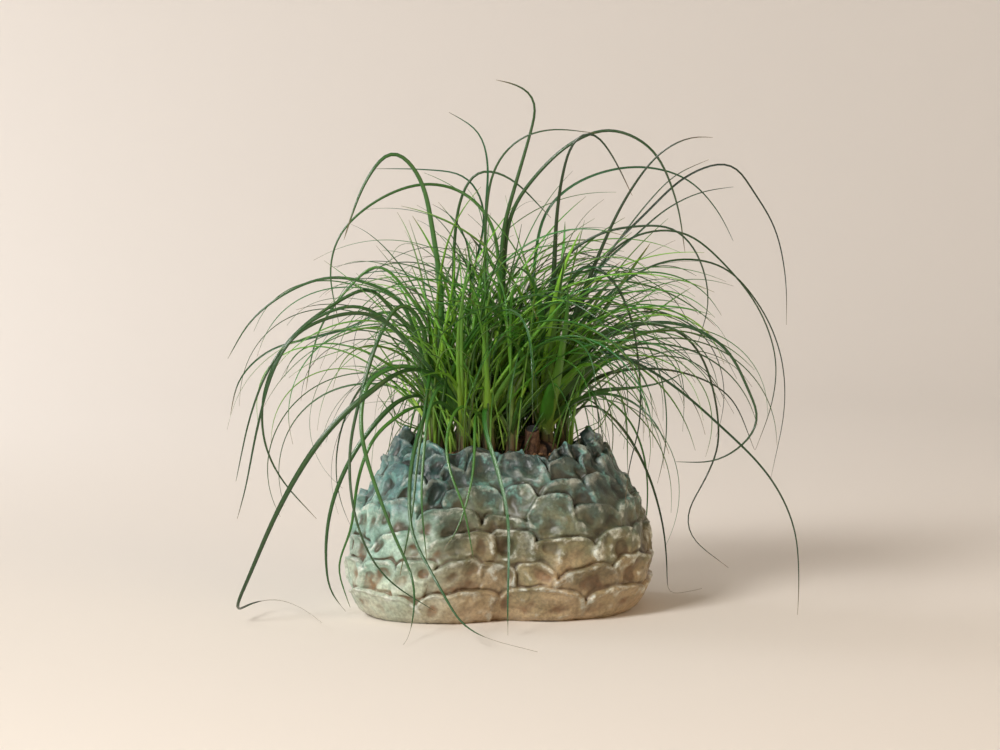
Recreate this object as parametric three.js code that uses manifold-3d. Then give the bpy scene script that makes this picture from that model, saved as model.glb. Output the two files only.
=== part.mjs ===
// A potted ponytail palm: many arching strap leaves in nine leafy shoots round a woody caudex,
// in potting soil, in a hand-built stoneware planter made of overlapping thumb-pressed clay pads.
// Millimetres, +Z up. The origin is the centre of the planter's flat foot, and the front is -Y.

import * as THREE from 'three';
import { mergeVertices } from 'three/addons/utils/BufferGeometryUtils.js';
import Module from 'manifold-3d';

const wasm = await Module();
wasm.setup();

// ---------------------------------------------------------------- driving dimensions

const BELLY_HALF_WIDTH = 151;   // of the planter's smooth wall at its widest
const BELLY_HEIGHT = 45;        // where it is widest
const FOOT_TUCK = 14;           // how far the wall draws in from the belly down to the foot
const MOUTH_TUCK = 57;          // how far it draws in from the belly up to the mouth
const MOUTH_HEIGHT = 165;
const MOUTH_SHIFT = -2;         // the mouth sits a little left of the foot
const DEPTH_AT_FOOT = 0.75;     // depth of the plan as a share of its width
const DEPTH_LOSS = 0.08;        // the mouth is flatter in plan by this much
const PLAN_POWER = 2.7;         // 2 makes the plan an oval, more draws its corners out
const SKEW = 0.1;               // the left end of the foot stands forward, the right end back
const WAIST = { x: 0, depth: 14, spread: 32 };  // shallow hollow down the front and the back
const WALL = 9;
const FLOOR_THICKNESS = 10;

const ROW_TOPS = [32, 60, 83, 110, 134, 152, 166];    // upper edges of the rows of clay pads
const ROW_PADS = [11, 15, 17, 18, 17, 15, 13];        // pads round the planter in each row
const HORNS = [{ angle: 0.0, rise: 7, spread: 0.15 }, { angle: Math.PI, rise: 5, spread: 0.17 }];
const HORN_LEAN = 7;            // how far the horns lean outwards at their tips
const RIM_DIP = { angle: -1.17, depth: 7, spread: 0.32 };   // the rim is lower at the front
const CREVICE = -3.5;           // the foot of a pad lies this far behind the smooth wall
const COLUMNS = 78;             // points round the planter

const SOIL_EDGE = 150;          // height of the soil at the wall
const SOIL_TOP = 158;           // and in the middle
const SOIL_COLUMNS = 52;
const CLEARANCE = 0.35;         // between pieces that touch

const CAUDEX = { x: 30, y: -6, halfWidth: 31, halfDepth: 23, bottom: 122, top: 174 };
const STUMP = { x: 32, y: -29, radius: 7, bottom: 148, top: 184, lean: 0.25 };

const STEM_BOTTOM = 142;
const STEM_TOP = 234;
const STEM_SIDES = 7;
const SLIVER = 0.22;          // finer edges than this are closed up where leaves join their stem
const LONG_LEAF_ROOT = 187;    // height at which the long leaves leave their stems

// Where each leafy shoot stands, how thick its stem is at the soil and how many leaves it has
// besides the long ones that are listed one by one.
const SHOOTS = {
  left: { x: -65, y: -5, radius: 10, leaves: 30 },
  front_left: { x: -36, y: -27, radius: 8, leaves: 20 },
  front: { x: -12, y: -31, radius: 8, leaves: 24 },
  front_right: { x: 12, y: -34, radius: 6.5, leaves: 14 },
  centre: { x: 4, y: 13, radius: 9, leaves: 30 },
  right: { x: 45, y: -9, radius: 10, leaves: 25 },
  far_right: { x: 63, y: 11, radius: 8, leaves: 24 },
  back_left: { x: -38, y: 32, radius: 8, leaves: 26 },
  back_right: { x: 32, y: 35, radius: 8, leaves: 26 },
};

const DRAPE_GAP = 16;           // a hanging leaf stays this far off the planter's smooth wall
const LIP_GAP = 10.5;           // and its straight stretches at least this far
const GROUND_GAP = 2.5;

// The reach of the foliage: a dome over the planter that the unlisted leaves stay within.
const CROWN = { x: 4, z: 150, halfWidth: 283, halfDepth: 246, height: 312 };

// The long leaves are written as they are seen from the front, from EYE_DISTANCE away and
// EYE_HEIGHT up: across, up and depth behind the planter's middle for each point on the way from
// the shoot to the tip. Each point is then slid along the line of sight to its own depth.
const EYE_DISTANCE = 2600;
const EYE_HEIGHT = 458.6;
const LONG_LEAVES = [
  ['left', 7.5, [[-59, 308, -10], [-66, 370, -14], [-81, 434, -20], [-107, 459, -26],
    [-132, 432, -32], [-150, 389, -38], [-156, 370, -40]]],
  ['left', 5, [[-98, 307, -8], [-127, 325, -10], [-167, 333, -12], [-205, 322, -14],
    [-249, 290, -16], [-273, 251, -18]]],
  ['left', 5, [[-73, 262, -12], [-109, 300, -18], [-129, 322, -22], [-164, 307, -28],
    [-209, 272, -36], [-235, 225, -42], [-238, 172, -48], [-222, 132, -52], [-185, 89, -58]]],
  ['left', 5, [[-90, 262, -30], [-140, 304, -36], [-195, 285, -44], [-230, 244, -52],
    [-250, 196, -58], [-266, 127, -64]]],
  ['left', 6.5, [[-78, 214, -30], [-101, 209, -44], [-131, 179, -54], [-154, 143, -60],
    [-171, 98, -62], [-176, 47, -62], [-169, 9, -62], [-147, -5, -58]]],
  ['left', 5, [[-80, 290, -40], [-98, 308, -50], [-118, 280, -62], [-136, 227, -76],
    [-151, 160, -90], [-147, 95, -110], [-129, 47, -122], [-109, 23, -128], [-66, -5, -136]]],
  ['left', 5, [[-69, 240, -50], [-74, 208, -72], [-84, 139, -98], [-88, 98, -112], [-101, 31, -126]]],
  ['left', 5, [[-79, 204, -40], [-98, 196, -58], [-127, 171, -80], [-143, 129, -88],
    [-150, 78, -94], [-164, 38, -90], [-148, -1, -86]]],
  ['back_left', 4.5, [[-80, 262, 30], [-110, 300, 34], [-147, 283, 38], [-189, 272, 42],
    [-232, 259, 46], [-262, 230, 50], [-271, 194, 52]]],
  ['back_left', 4.5, [[-89, 312, 28], [-122, 346, 30], [-147, 327, 30], [-179, 285, 28],
    [-190, 249, 26], [-195, 219, 24]]],
  ['back_left', 4, [[-30, 320, 34], [-16, 400, 40], [-34, 433, 45], [-75, 440, 52], [-126, 441, 60]]],
  ['back_left', 5, [[-46, 308, 25], [-45, 375, 22], [-38, 415, 20], [-22, 439, 18],
    [8, 433, 14], [51, 392, 8]]],
  ['front_left', 5.5, [[-70, 240, -50], [-130, 296, -60], [-200, 279, -66], [-225, 245, -70],
    [-243, 185, -75], [-257, 117, -80], [-265, 89, -82]]],
  ['front_left', 8, [[-62, 232, -48], [-91, 240, -60], [-121, 224, -74], [-165, 187, -84],
    [-195, 148, -86], [-224, 97, -80], [-254, 29, -64], [-267, -3, -50], [-250, 3, -8],
    [-227, 7, 30], [-205, 0, -6], [-180, -17, -98]]],
  ['front_left', 6, [[-90, 244, -66], [-131, 230, -90], [-139, 204, -104], [-138, 166, -116],
    [-109, 77, -140], [-88, 27, -156], [-89, -18, -195], [-98, -44, -238]]],
  ['front_left', 5.5, [[-66, 208, -68], [-88, 150, -100], [-89, 75, -130], [-75, 45, -145],
    [-57, 12, -165], [-40, -16, -190], [-18, -31, -212], [38, -47, -245]]],
  ['front_left', 5, [[-58, 226, -60], [-70, 204, -84], [-78, 139, -112], [-79, 105, -122], [-74, 47, -134]]],
  ['front', 5, [[-15, 205, -60], [-16, 183, -74], [-6, 151, -92], [7, 98, -116], [9, 66, -126],
    [8, 10, -152], [8, -30, -178]]],
  ['front', 4.5, [[-24, 200, -58], [-25, 172, -80], [-28, 128, -102], [-45, 73, -122], [-56, 59, -126]]],
  ['front', 4.5, [[-40, 205, -60], [-54, 170, -84], [-49, 132, -102], [-38, 107, -112], [-26, 47, -126]]],
  ['front', 4.5, [[-15, 300, -27], [-14, 405, -20], [-12, 446, -20], [-21, 478, -20], [-51, 497, -22]]],
  ['front', 4.5, [[-14, 392, -34], [-5, 442, -40], [17, 469, -44], [49, 480, -50], [97, 476, -60]]],
  ['centre', 5, [[0, 300, 4], [-8, 385, 0], [-36, 417, -5], [-75, 426, -15], [-120, 411, -25],
    [-159, 377, -32], [-170, 340, -36], [-161, 285, -40]]],
  ['centre', 6.5, [[3, 375, 6], [16, 427, 5], [29, 472, 5], [36, 505, 5], [29, 518, 2],
    [8, 527, -2], [-4, 529, -4]]],
  ['centre', 5.5, [[4, 340, 12], [12, 398, 8], [41, 440, 0], [75, 469, -5], [110, 480, -10],
    [151, 461, -16], [176, 409, -22], [185, 357, -26]]],
  ['back_right', 4.5, [[35, 350, 34], [47, 400, 34], [80, 429, 38], [136, 443, 44], [186, 431, 50],
    [218, 398, 54], [233, 369, 56]]],
  ['right', 7.5, [[53, 308, -10], [57, 396, -12], [63, 437, -14], [73, 468, -16], [90, 479, -18],
    [110, 457, -20], [132, 414, -22]]],
  ['right', 7.5, [[66, 268, -14], [110, 381, -24], [132, 422, -30], [160, 457, -36], [192, 473, -42],
    [212, 472, -46]]],
  ['right', 5, [[62, 262, 0], [98, 340, 0], [136, 375, 2], [166, 401, 4], [201, 418, 6], [233, 423, 8]]],
  ['right', 5.5, [[50, 320, -28], [62, 350, -36], [101, 377, -46], [140, 384, -52], [173, 382, -58],
    [197, 357, -64], [209, 308, -70], [197, 263, -75]]],
  ['right', 5, [[60, 300, -22], [85, 346, -44], [110, 333, -56], [130, 296, -66], [140, 237, -76],
    [140, 183, -84], [130, 142, -90], [126, 102, -94]]],
  ['far_right', 5, [[80, 300, 18], [110, 359, 20], [145, 396, 22], [188, 435, 24], [230, 446, 26],
    [253, 418, 28], [275, 381, 30], [286, 330, 32], [287, 285, 33]]],
  ['far_right', 4.5, [[78, 310, 6], [110, 358, 4], [149, 409, 0], [175, 435, -4], [208, 450, -8]]],
  ['far_right', 4.5, [[90, 330, -2], [130, 372, -8], [182, 378, -14], [229, 341, -22], [262, 296, -30],
    [277, 248, -36], [273, 205, -40], [257, 159, -44]]],
  ['far_right', 4.5, [[95, 300, 40], [145, 341, 48], [184, 351, 54], [225, 342, 60], [260, 304, 66],
    [281, 257, 72], [286, 205, 78], [273, 131, 84]]],
  ['far_right', 7, [[85, 255, -14], [119, 280, -26], [175, 287, -40], [225, 263, -52], [253, 211, -62],
    [260, 194, -66], [252, 172, -69], [218, 148, -74], [177, 147, -80]]],
  ['far_right', 5, [[97, 218, -14], [140, 222, -26], [175, 231, -36], [190, 241, -40]]],
  ['far_right', 4.5, [[97, 232, 28], [140, 241, 38], [188, 236, 48], [231, 213, 56], [256, 159, 64]]],
  ['far_right', 5.5, [[92, 258, -24], [130, 250, -38], [171, 226, -50], [214, 190, -62], [272, 131, -80],
    [297, 79, -90], [302, 20, -96], [301, -9, -97]]],
  ['far_right', 5, [[96, 262, 26], [140, 286, 32], [180, 278, 34], [205, 248, 30], [220, 167, 22],
    [206, 128, 18], [189, 95, 14], [192, 72, 12], [231, 39, 6]]],
  ['far_right', 5.5, [[90, 206, 20], [118, 187, 24], [146, 142, 32], [164, 84, 40], [169, 34, 46],
    [170, 12, 52], [204, 18, 86]]],
  ['far_right', 4, [[84, 212, -20], [94, 208, -34], [112, 188, -46], [140, 153, -60]]],
];

// ---------------------------------------------------------------- small helpers

const clamp = THREE.MathUtils.clamp;
const radians = THREE.MathUtils.degToRad;

// A stream of even random numbers from 0 to 1 that is the same for the same seed.
function randomStream(seed) {
  let state = (seed * 2654435761 + 12345) % 4294967296;
  const next = () => {
    state = (state * 1664525 + 1013904223) % 4294967296;
    return state / 4294967296;
  };
  next();
  next();
  return next;
}

// A closed skin over a row of rings, each with the same number of points and counterclockwise
// when it is seen from the end, with a fan to one point at each end.
function loft(start, rings, end) {
  const count = rings[0].length;
  const points = [start, ...rings.flat(), end];
  const last = 1 + (rings.length - 1) * count;
  const index = [];
  for (let j = 0; j < count; j += 1) {
    const next = (j + 1) % count;
    index.push(0, 1 + next, 1 + j);
    index.push(last + j, last + next, points.length - 1);
    for (let i = 0; i < rings.length - 1; i += 1) {
      const low = 1 + i * count;
      const high = low + count;
      index.push(low + j, low + next, high + next);
      index.push(low + j, high + next, high + j);
    }
  }
  const geometry = new THREE.BufferGeometry();
  geometry.setFromPoints(points);
  geometry.setIndex(index);
  return geometry;
}

function toSolid(geometry) {
  const merged = mergeVertices(geometry, 1e-4);
  return new wasm.Manifold(new wasm.Mesh({
    numProp: 3,
    vertProperties: merged.attributes.position.array,
    triVerts: new Uint32Array(merged.index.array),
  }));
}

function toGeometry(solid) {
  const mesh = solid.getMesh();
  const geometry = new THREE.BufferGeometry();
  geometry.setAttribute('position', new THREE.BufferAttribute(mesh.vertProperties, 3));
  geometry.setIndex(new THREE.BufferAttribute(mesh.triVerts, 1));
  geometry.computeVertexNormals();
  return geometry;
}

// The largest body of a solid: sealed hollows are filled and loose scraps are dropped.
function oneBody(solid) {
  return solid.decompose().reduce((best, part) => (part.volume() > best.volume() ? part : best));
}

function subPart(name, geometry, color, roughness) {
  const material = new THREE.MeshStandardMaterial({ color, roughness, metalness: 0 });
  const mesh = new THREE.Mesh(geometry, material);
  mesh.name = name;
  return mesh;
}

// ---------------------------------------------------------------- the planter

function wallHalfWidth(z) {
  if (z < BELLY_HEIGHT) {
    return BELLY_HALF_WIDTH - FOOT_TUCK * ((BELLY_HEIGHT - z) / BELLY_HEIGHT) ** 2.6;
  }
  return BELLY_HALF_WIDTH - MOUTH_TUCK * ((z - BELLY_HEIGHT) / (MOUTH_HEIGHT - BELLY_HEIGHT)) ** 2;
}

function wallHalfDepth(z) {
  return wallHalfWidth(z) * (DEPTH_AT_FOOT - DEPTH_LOSS * (z / MOUTH_HEIGHT) ** 2);
}

function mouthShift(z) {
  return MOUTH_SHIFT * (z / MOUTH_HEIGHT) ** 2;
}

// How far the plan is slid back at a place across it: most at the foot, and not at the mouth.
function skewAt(x, z) {
  return SKEW * x * Math.max(0, 1 - (z / MOUTH_HEIGHT) ** 2);
}

// The smooth wall at an angle round the planter and a height, moved out square to the wall.
function wallPoint(angle, z, out) {
  const halfWidth = wallHalfWidth(z);
  const halfDepth = wallHalfDepth(z);
  const across = Math.cos(angle);
  const along = Math.sin(angle);
  const reach = (Math.abs(across) ** PLAN_POWER + Math.abs(along) ** PLAN_POWER) ** (-1 / PLAN_POWER);
  const x = halfWidth * across * reach;
  const waist = WAIST.depth * Math.exp(-(((x - WAIST.x) / WAIST.spread) ** 2));
  const y = (halfDepth * reach - waist) * along + skewAt(x, z);
  const normal = new THREE.Vector2(
    (Math.sign(across) * Math.abs(across) ** (PLAN_POWER - 1)) / halfWidth,
    (Math.sign(along) * Math.abs(along) ** (PLAN_POWER - 1)) / halfDepth,
  ).normalize();
  const lean = clamp((wallHalfWidth(z - 4) - wallHalfWidth(z + 4)) / 8, 0, 1);
  const flat = 1 / Math.hypot(1, lean);
  return new THREE.Vector3(
    x + mouthShift(z) + out * normal.x * flat,
    y + out * normal.y * flat,
    z + out * lean * flat,
  );
}

// The seams of each row are set unevenly, and each pad has a bulge, a height and a tilt of its own.
function padRow(row) {
  const random = randomStream(900 + row);
  const count = ROW_PADS[row];
  const turn = random() * 2 * Math.PI;
  const pads = [];
  for (let i = 0; i < count; i += 1) {
    pads.push({
      start: turn + ((i + 0.36 * (random() - 0.5)) * 2 * Math.PI) / count,
      bulge: 5.5 + 4.5 * random(),
      top: 6.5 * (random() - 0.35),
      tilt: 3 * (random() - 0.5),
      dent: 0.5 + 2.5 * random(),
    });
  }
  return pads;
}
const PAD_ROWS = ROW_TOPS.map((_, row) => padRow(row));
const LAST_ROW = ROW_TOPS.length - 1;

// The pad of a row that an angle falls on, and how far across it from 0 to 1.
function padAt(row, angle) {
  const pads = PAD_ROWS[row];
  const turn = 2 * Math.PI;
  const from = pads[0].start;
  const a = from + ((((angle - from) % turn) + turn) % turn);
  for (let i = pads.length - 1; i >= 0; i -= 1) {
    if (a >= pads[i].start || i === 0) {
      const end = i === pads.length - 1 ? from + turn : pads[i + 1].start;
      return { pad: pads[i], across: clamp((a - pads[i].start) / (end - pads[i].start), 0, 1) };
    }
  }
  return null;
}

function angleBetween(a, b) {
  return Math.abs(Math.atan2(Math.sin(a - b), Math.cos(a - b)));
}

// Height of a row's upper edge: each pad ends in a rounded lobe, two horns rise at the mouth, and
// the upper rows sink a little at the front.
function rowTop(row, angle) {
  const { pad, across } = padAt(row, angle);
  const lobe = Math.sin(Math.PI * across) ** 0.7;
  const dip = Math.exp(-((angleBetween(angle, RIM_DIP.angle) / RIM_DIP.spread) ** 2));
  let z = ROW_TOPS[row] + (7.5 + pad.top) * lobe - 4.5;
  z -= RIM_DIP.depth * dip * (row / LAST_ROW) ** 2;
  if (row === LAST_ROW) {
    for (const horn of HORNS) {
      z += horn.rise * Math.exp(-((angleBetween(angle, horn.angle) / horn.spread) ** 2));
    }
  }
  return z;
}

// How far a pad stands out of the wall, from its foot (0) to its lip (1).
function padRelief(row, angle, up) {
  const { pad, across } = padAt(row, angle);
  const lobe = Math.sin(Math.PI * across) ** 0.6;
  const bulge = pad.bulge * up ** 0.8 * (0.35 + 0.65 * lobe);
  const tilt = pad.tilt * (across - 0.5) * up * lobe;
  const dent = pad.dent * Math.sin(Math.PI * across) ** 2 * Math.sin(Math.PI * up);
  return CREVICE + 0.5 + bulge + tilt - dent;
}

// How far the wall under the horns leans out with them.
function hornLean(angle, z) {
  let lean = 0;
  for (const horn of HORNS) {
    lean += Math.exp(-((angleBetween(angle, horn.angle) / (1.6 * horn.spread)) ** 2));
  }
  return HORN_LEAN * lean * clamp((z - 140) / 42, 0, 1);
}

function wallRing(heightAt, outAt) {
  const ring = [];
  for (let j = 0; j < COLUMNS; j += 1) {
    const angle = (2 * Math.PI * j) / COLUMNS;
    const z = heightAt(angle);
    ring.push(wallPoint(angle, z, outAt(angle) + hornLean(angle, z)));
  }
  return ring;
}

function planterGeometry() {
  const rings = [];
  for (let row = 0; row <= LAST_ROW; row += 1) {
    const foot = (angle) => (row === 0 ? 0 : rowTop(row - 1, angle));
    const heightAt = (up) => (angle) => foot(angle) + (rowTop(row, angle) - foot(angle)) * up;
    const reliefAt = (up) => (angle) => padRelief(row, angle, up);
    if (row === 0) {
      rings.push(wallRing(() => 0, () => 0));
      rings.push(wallRing(heightAt(0.45), reliefAt(0.45)));
    } else {
      rings.push(wallRing((angle) => foot(angle) - 1, () => CREVICE));
    }
    rings.push(wallRing(heightAt(0.92), reliefAt(0.92)));
  }
  rings.push(wallRing((angle) => rowTop(LAST_ROW, angle), () => -2));
  rings.push(wallRing((angle) => rowTop(LAST_ROW, angle) - 3, () => -WALL));
  for (const z of [SOIL_EDGE, 110, 45, FLOOR_THICKNESS]) {
    rings.push(wallRing(() => z, () => -WALL));
  }
  const flatten = (ring, z) => ring.forEach((point) => { point.z = z; });
  flatten(rings[0], 0);
  flatten(rings[rings.length - 1], FLOOR_THICKNESS);
  return loft(new THREE.Vector3(0, 0, 0), rings, new THREE.Vector3(0, 0, FLOOR_THICKNESS));
}

// ---------------------------------------------------------------- soil, caudex and stems

// The soil fills the planter and is mounded up towards the middle.
function soilGeometry() {
  const ringAt = (z, share, rise) => {
    const ring = [];
    for (let j = 0; j < SOIL_COLUMNS; j += 1) {
      const point = wallPoint((2 * Math.PI * j) / SOIL_COLUMNS, z, -WALL - 1.2);
      ring.push(new THREE.Vector3(point.x * share, point.y * share, point.z + rise));
    }
    return ring;
  };
  const mound = SOIL_TOP - SOIL_EDGE;
  const rings = [
    ringAt(FLOOR_THICKNESS, 0.99, CLEARANCE),
    ringAt(45, 1, 0),
    ringAt(110, 1, 0),
    ringAt(SOIL_EDGE, 1, 0),
    ringAt(SOIL_EDGE, 0.8, 0.6 * mound),
    ringAt(SOIL_EDGE, 0.4, 0.95 * mound),
  ];
  const middle = new THREE.Vector3(MOUTH_SHIFT, 0, SOIL_TOP);
  return loft(new THREE.Vector3(0, 0, FLOOR_THICKNESS + CLEARANCE), rings, middle);
}

// A squat swollen stem base with fissured bark, wider than its sunken foot.
function caudexGeometry(grow) {
  const sides = 18;
  const rings = [];
  for (const [share, height] of [[0.72, 0], [0.95, 0.35], [1, 0.6], [0.93, 0.8], [0.7, 0.93], [0.34, 0.99]]) {
    const ring = [];
    for (let j = 0; j < sides; j += 1) {
      const angle = (2 * Math.PI * j) / sides;
      const fissure = 1 + 0.05 * (j % 2 ? -1 : 1) + 0.03 * Math.sin(3 * angle + 1);
      ring.push(new THREE.Vector3(
        CAUDEX.x + (CAUDEX.halfWidth * share * fissure + grow) * Math.cos(angle),
        CAUDEX.y + (CAUDEX.halfDepth * share * fissure + grow) * Math.sin(angle),
        CAUDEX.bottom + (CAUDEX.top - CAUDEX.bottom) * height - grow * (height < 0.3 ? 1 : 0),
      ));
    }
    rings.push(ring);
  }
  const bottom = new THREE.Vector3(CAUDEX.x, CAUDEX.y, CAUDEX.bottom - grow);
  return loft(bottom, rings, new THREE.Vector3(CAUDEX.x, CAUDEX.y, CAUDEX.top));
}

// An old stem that was cut off: a short oval stub that leans forward out of the caudex.
function stumpGeometry() {
  const sides = 10;
  const ringAt = (z, scale) => {
    const ring = [];
    for (let j = 0; j < sides; j += 1) {
      const angle = (2 * Math.PI * j) / sides;
      ring.push(new THREE.Vector3(
        STUMP.x + STUMP.radius * scale * Math.cos(angle),
        STUMP.y + (STUMP.top - z) * STUMP.lean + 0.8 * STUMP.radius * scale * Math.sin(angle),
        z + STUMP.lean * STUMP.radius * Math.sin(angle),
      ));
    }
    return ring;
  };
  const rings = [ringAt(STUMP.bottom, 1.25), ringAt(STUMP.top - 3, 1), ringAt(STUMP.top, 0.8)];
  const footY = STUMP.y + (STUMP.top - STUMP.bottom) * STUMP.lean;
  const foot = new THREE.Vector3(STUMP.x, footY, STUMP.bottom);
  return loft(foot, rings, new THREE.Vector3(STUMP.x, STUMP.y, STUMP.top - 1));
}

// The stem of a shoot narrows upwards, where the young leaves leave it.
function stemRadius(shoot, z) {
  return shoot.radius * (1 - 0.7 * clamp((z - 155) / (STEM_TOP - 155), 0, 1));
}

function stemGeometry(shoot, grow) {
  const ringAt = (z) => {
    const radius = stemRadius(shoot, z) + grow;
    const ring = [];
    for (let j = 0; j < STEM_SIDES; j += 1) {
      const angle = (2 * Math.PI * j) / STEM_SIDES;
      ring.push(new THREE.Vector3(shoot.x + radius * Math.cos(angle), shoot.y + radius * Math.sin(angle), z));
    }
    return ring;
  };
  const bottom = STEM_BOTTOM - grow;
  const rings = [ringAt(bottom), ringAt(158), ringAt(182), ringAt(STEM_TOP)];
  return loft(
    new THREE.Vector3(shoot.x, shoot.y, bottom),
    rings,
    new THREE.Vector3(shoot.x, shoot.y, STEM_TOP + 4),
  );
}

// ---------------------------------------------------------------- the leaves

// Where a point lies between the planter's axis (0) and a wall that is moved out by a margin (1).
function shareOfWall(point, margin) {
  const z = clamp(point.z, 0, 170);
  const x = Math.abs(point.x - mouthShift(z)) / (wallHalfWidth(z) + margin);
  const y = Math.abs(point.y - skewAt(point.x, z)) / (wallHalfDepth(z) + margin);
  return (x ** PLAN_POWER + y ** PLAN_POWER) ** (1 / PLAN_POWER);
}

function isBelowRim(point) {
  const horn = Math.abs(point.y) < 26 && Math.abs(point.x) > 60;
  return point.z < (horn ? 188 : 178);
}

// A leaf that comes down keeps off the planter's wall and lips, and comes to rest on the ground.
function keepClear(point) {
  const share = shareOfWall(point, DRAPE_GAP);
  const inMouth = share < 0.7 && point.z > SOIL_TOP + 2;
  if (isBelowRim(point) && share < 1 && !inMouth) {
    const shift = mouthShift(clamp(point.z, 0, 170));
    const skew = skewAt(point.x, point.z);
    point.x = (point.x - shift) / share + shift;
    point.y = (point.y - skew) / share + skew;
  }
  point.z = Math.max(point.z, GROUND_GAP);
}

// A leaf may not touch the planter's wall, the ground or the caudex.
function touchesPot({ point, along }) {
  if (point.z < GROUND_GAP - 0.5) return true;
  const nearWall = shareOfWall(point, LIP_GAP) < 1 && shareOfWall(point, -WALL - 5) > 1;
  if (nearWall && isBelowRim(point)) return true;
  const toCaudex = Math.hypot(
    (point.x - CAUDEX.x) / (CAUDEX.halfWidth + 5),
    (point.y - CAUDEX.y) / (CAUDEX.halfDepth + 5),
    (point.z - 146) / (CAUDEX.top - 146 + 4),
  );
  return along > 30 && toCaudex < 1;
}

// The centre line of a long leaf, from inside its stem through its listed points.
function longLeafPath(shoot, waypoints, depthShift) {
  const seen = waypoints.map(([x, z, y], i) => {
    const depth = y + depthShift * Math.min(1, (i + 0.6) / 2.5);
    const scale = (EYE_DISTANCE + depth) / EYE_DISTANCE;
    return new THREE.Vector3(x * scale, depth, EYE_HEIGHT - (EYE_HEIGHT - z) * scale);
  });
  const root = new THREE.Vector3(shoot.x, shoot.y, LONG_LEAF_ROOT);
  const lean = seen[0].clone().sub(root);
  const neck = root.clone().addScaledVector(lean, 0.3);
  neck.z += 0.12 * Math.max(0, lean.z);
  const curve = new THREE.CatmullRomCurve3([root, neck, ...seen]);
  const path = [];
  const steps = 10 * (seen.length + 1);
  for (let i = 0; i <= steps; i += 1) {
    const point = curve.getPoint(i / steps);
    if (i > 18) keepClear(point);
    path.push(point);
  }
  return path;
}

// The centre line of an unlisted leaf: it leaves the stem steeply, and bends over as it goes.
function leafPath(shoot, rank, turn, random, trial) {
  const azimuth = turn + radians((30 + 14 * trial) * (random() - 0.5));
  const steep = radians(87 - 45 * rank ** 0.9 + 10 * (random() - 0.5));
  const bend = radians((52 + 88 * Math.min(1, 1.5 * rank)) * (0.7 + 0.6 * random()));
  const full = Math.min(1, rank / 0.45) * (1 - 0.6 * Math.max(0, rank - 0.6));
  const length = (195 + 275 * full) * (0.8 + 0.36 * random()) * 0.982 ** trial;
  const late = 0.9 + 1.1 * random();
  const sweep = radians(120 * (random() - 0.5));
  const steps = 24;
  const start = STEM_TOP - 6 - 50 * rank;
  const offset = 0.3 * stemRadius(shoot, start);
  const point = new THREE.Vector3(
    shoot.x + offset * Math.cos(azimuth),
    shoot.y + offset * Math.sin(azimuth),
    start,
  );
  const path = [point.clone()];
  for (let i = 1; i <= steps; i += 1) {
    const t = (i - 0.5) / steps;
    const elevation = steep - bend * t ** late;
    const heading = azimuth + sweep * t * t;
    point.x += (length / steps) * Math.cos(elevation) * Math.cos(heading);
    point.y += (length / steps) * Math.cos(elevation) * Math.sin(heading);
    point.z += (length / steps) * Math.sin(elevation);
    if (i > 4) keepClear(point);
    path.push(point.clone());
    if (point.z < 4) break;
  }
  return path;
}

// The leaf as a few straight stretches, with more of them where it bends more.
function joints(path, count) {
  const weights = [0];
  for (let i = 1; i < path.length; i += 1) {
    const step = path[i].clone().sub(path[i - 1]);
    let weight = step.length() / 150;
    if (i > 1) weight += step.angleTo(path[i - 1].clone().sub(path[i - 2]));
    weights.push(weights[i - 1] + weight);
  }
  const total = weights[weights.length - 1];
  const picked = [];
  let i = 1;
  for (let j = 0; j <= count; j += 1) {
    const target = (total * j) / count;
    while (i < path.length - 1 && weights[i] < target) i += 1;
    const share = clamp((target - weights[i - 1]) / (weights[i] - weights[i - 1]), 0, 1);
    picked.push(path[i - 1].clone().lerp(path[i], share));
  }
  return picked;
}

// Width along a leaf: it is narrow where it leaves the crowded stem and runs out to a fine tip.
function widthAt(width, t) {
  return width * (1 - t) ** 0.55 * (1 - 0.55 * Math.exp(-t / 0.08));
}

// A leaf blade: a shallow keeled section carried along its joints to a point.
function bladeGeometry(points, width) {
  const lengths = [0];
  for (let i = 1; i < points.length; i += 1) {
    lengths.push(lengths[i - 1] + points[i].distanceTo(points[i - 1]));
  }
  const total = lengths[lengths.length - 1];
  const way = points[points.length - 1].clone().sub(points[0]).setZ(0).normalize();
  let side = new THREE.Vector3(-way.y, way.x, 0);
  const rings = [];
  for (let i = 0; i < points.length - 1; i += 1) {
    const tangent = points[i + 1].clone().sub(points[Math.max(i - 1, 0)]).normalize();
    side = side.clone().addScaledVector(tangent, -side.dot(tangent)).normalize();
    const normal = tangent.clone().cross(side);
    const w = widthAt(width, lengths[i] / total);
    const edge = 0.12 * w;
    const keel = Math.max(0.8, 0.2 * w);
    rings.push([
      points[i].clone().addScaledVector(side, w / 2).addScaledVector(normal, edge),
      points[i].clone().addScaledVector(side, -w / 2).addScaledVector(normal, edge),
      points[i].clone().addScaledVector(normal, -keel),
    ]);
  }
  return loft(points[0], rings, points[points.length - 1]);
}

// Points along leaves that are already placed, kept in a grid of cells to find close ones fast.
const CELL = 14;
const SAMPLE = 4;
const TRIALS = 49;
const DEPTH_SHIFTS = [0, 9, -9, 18, -18, 27, -27, 38, -38, 50, -50, 65, -65, 80, -80];
const GOLDEN_ANGLE = radians(137.508);
const placed = new Map();

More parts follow.
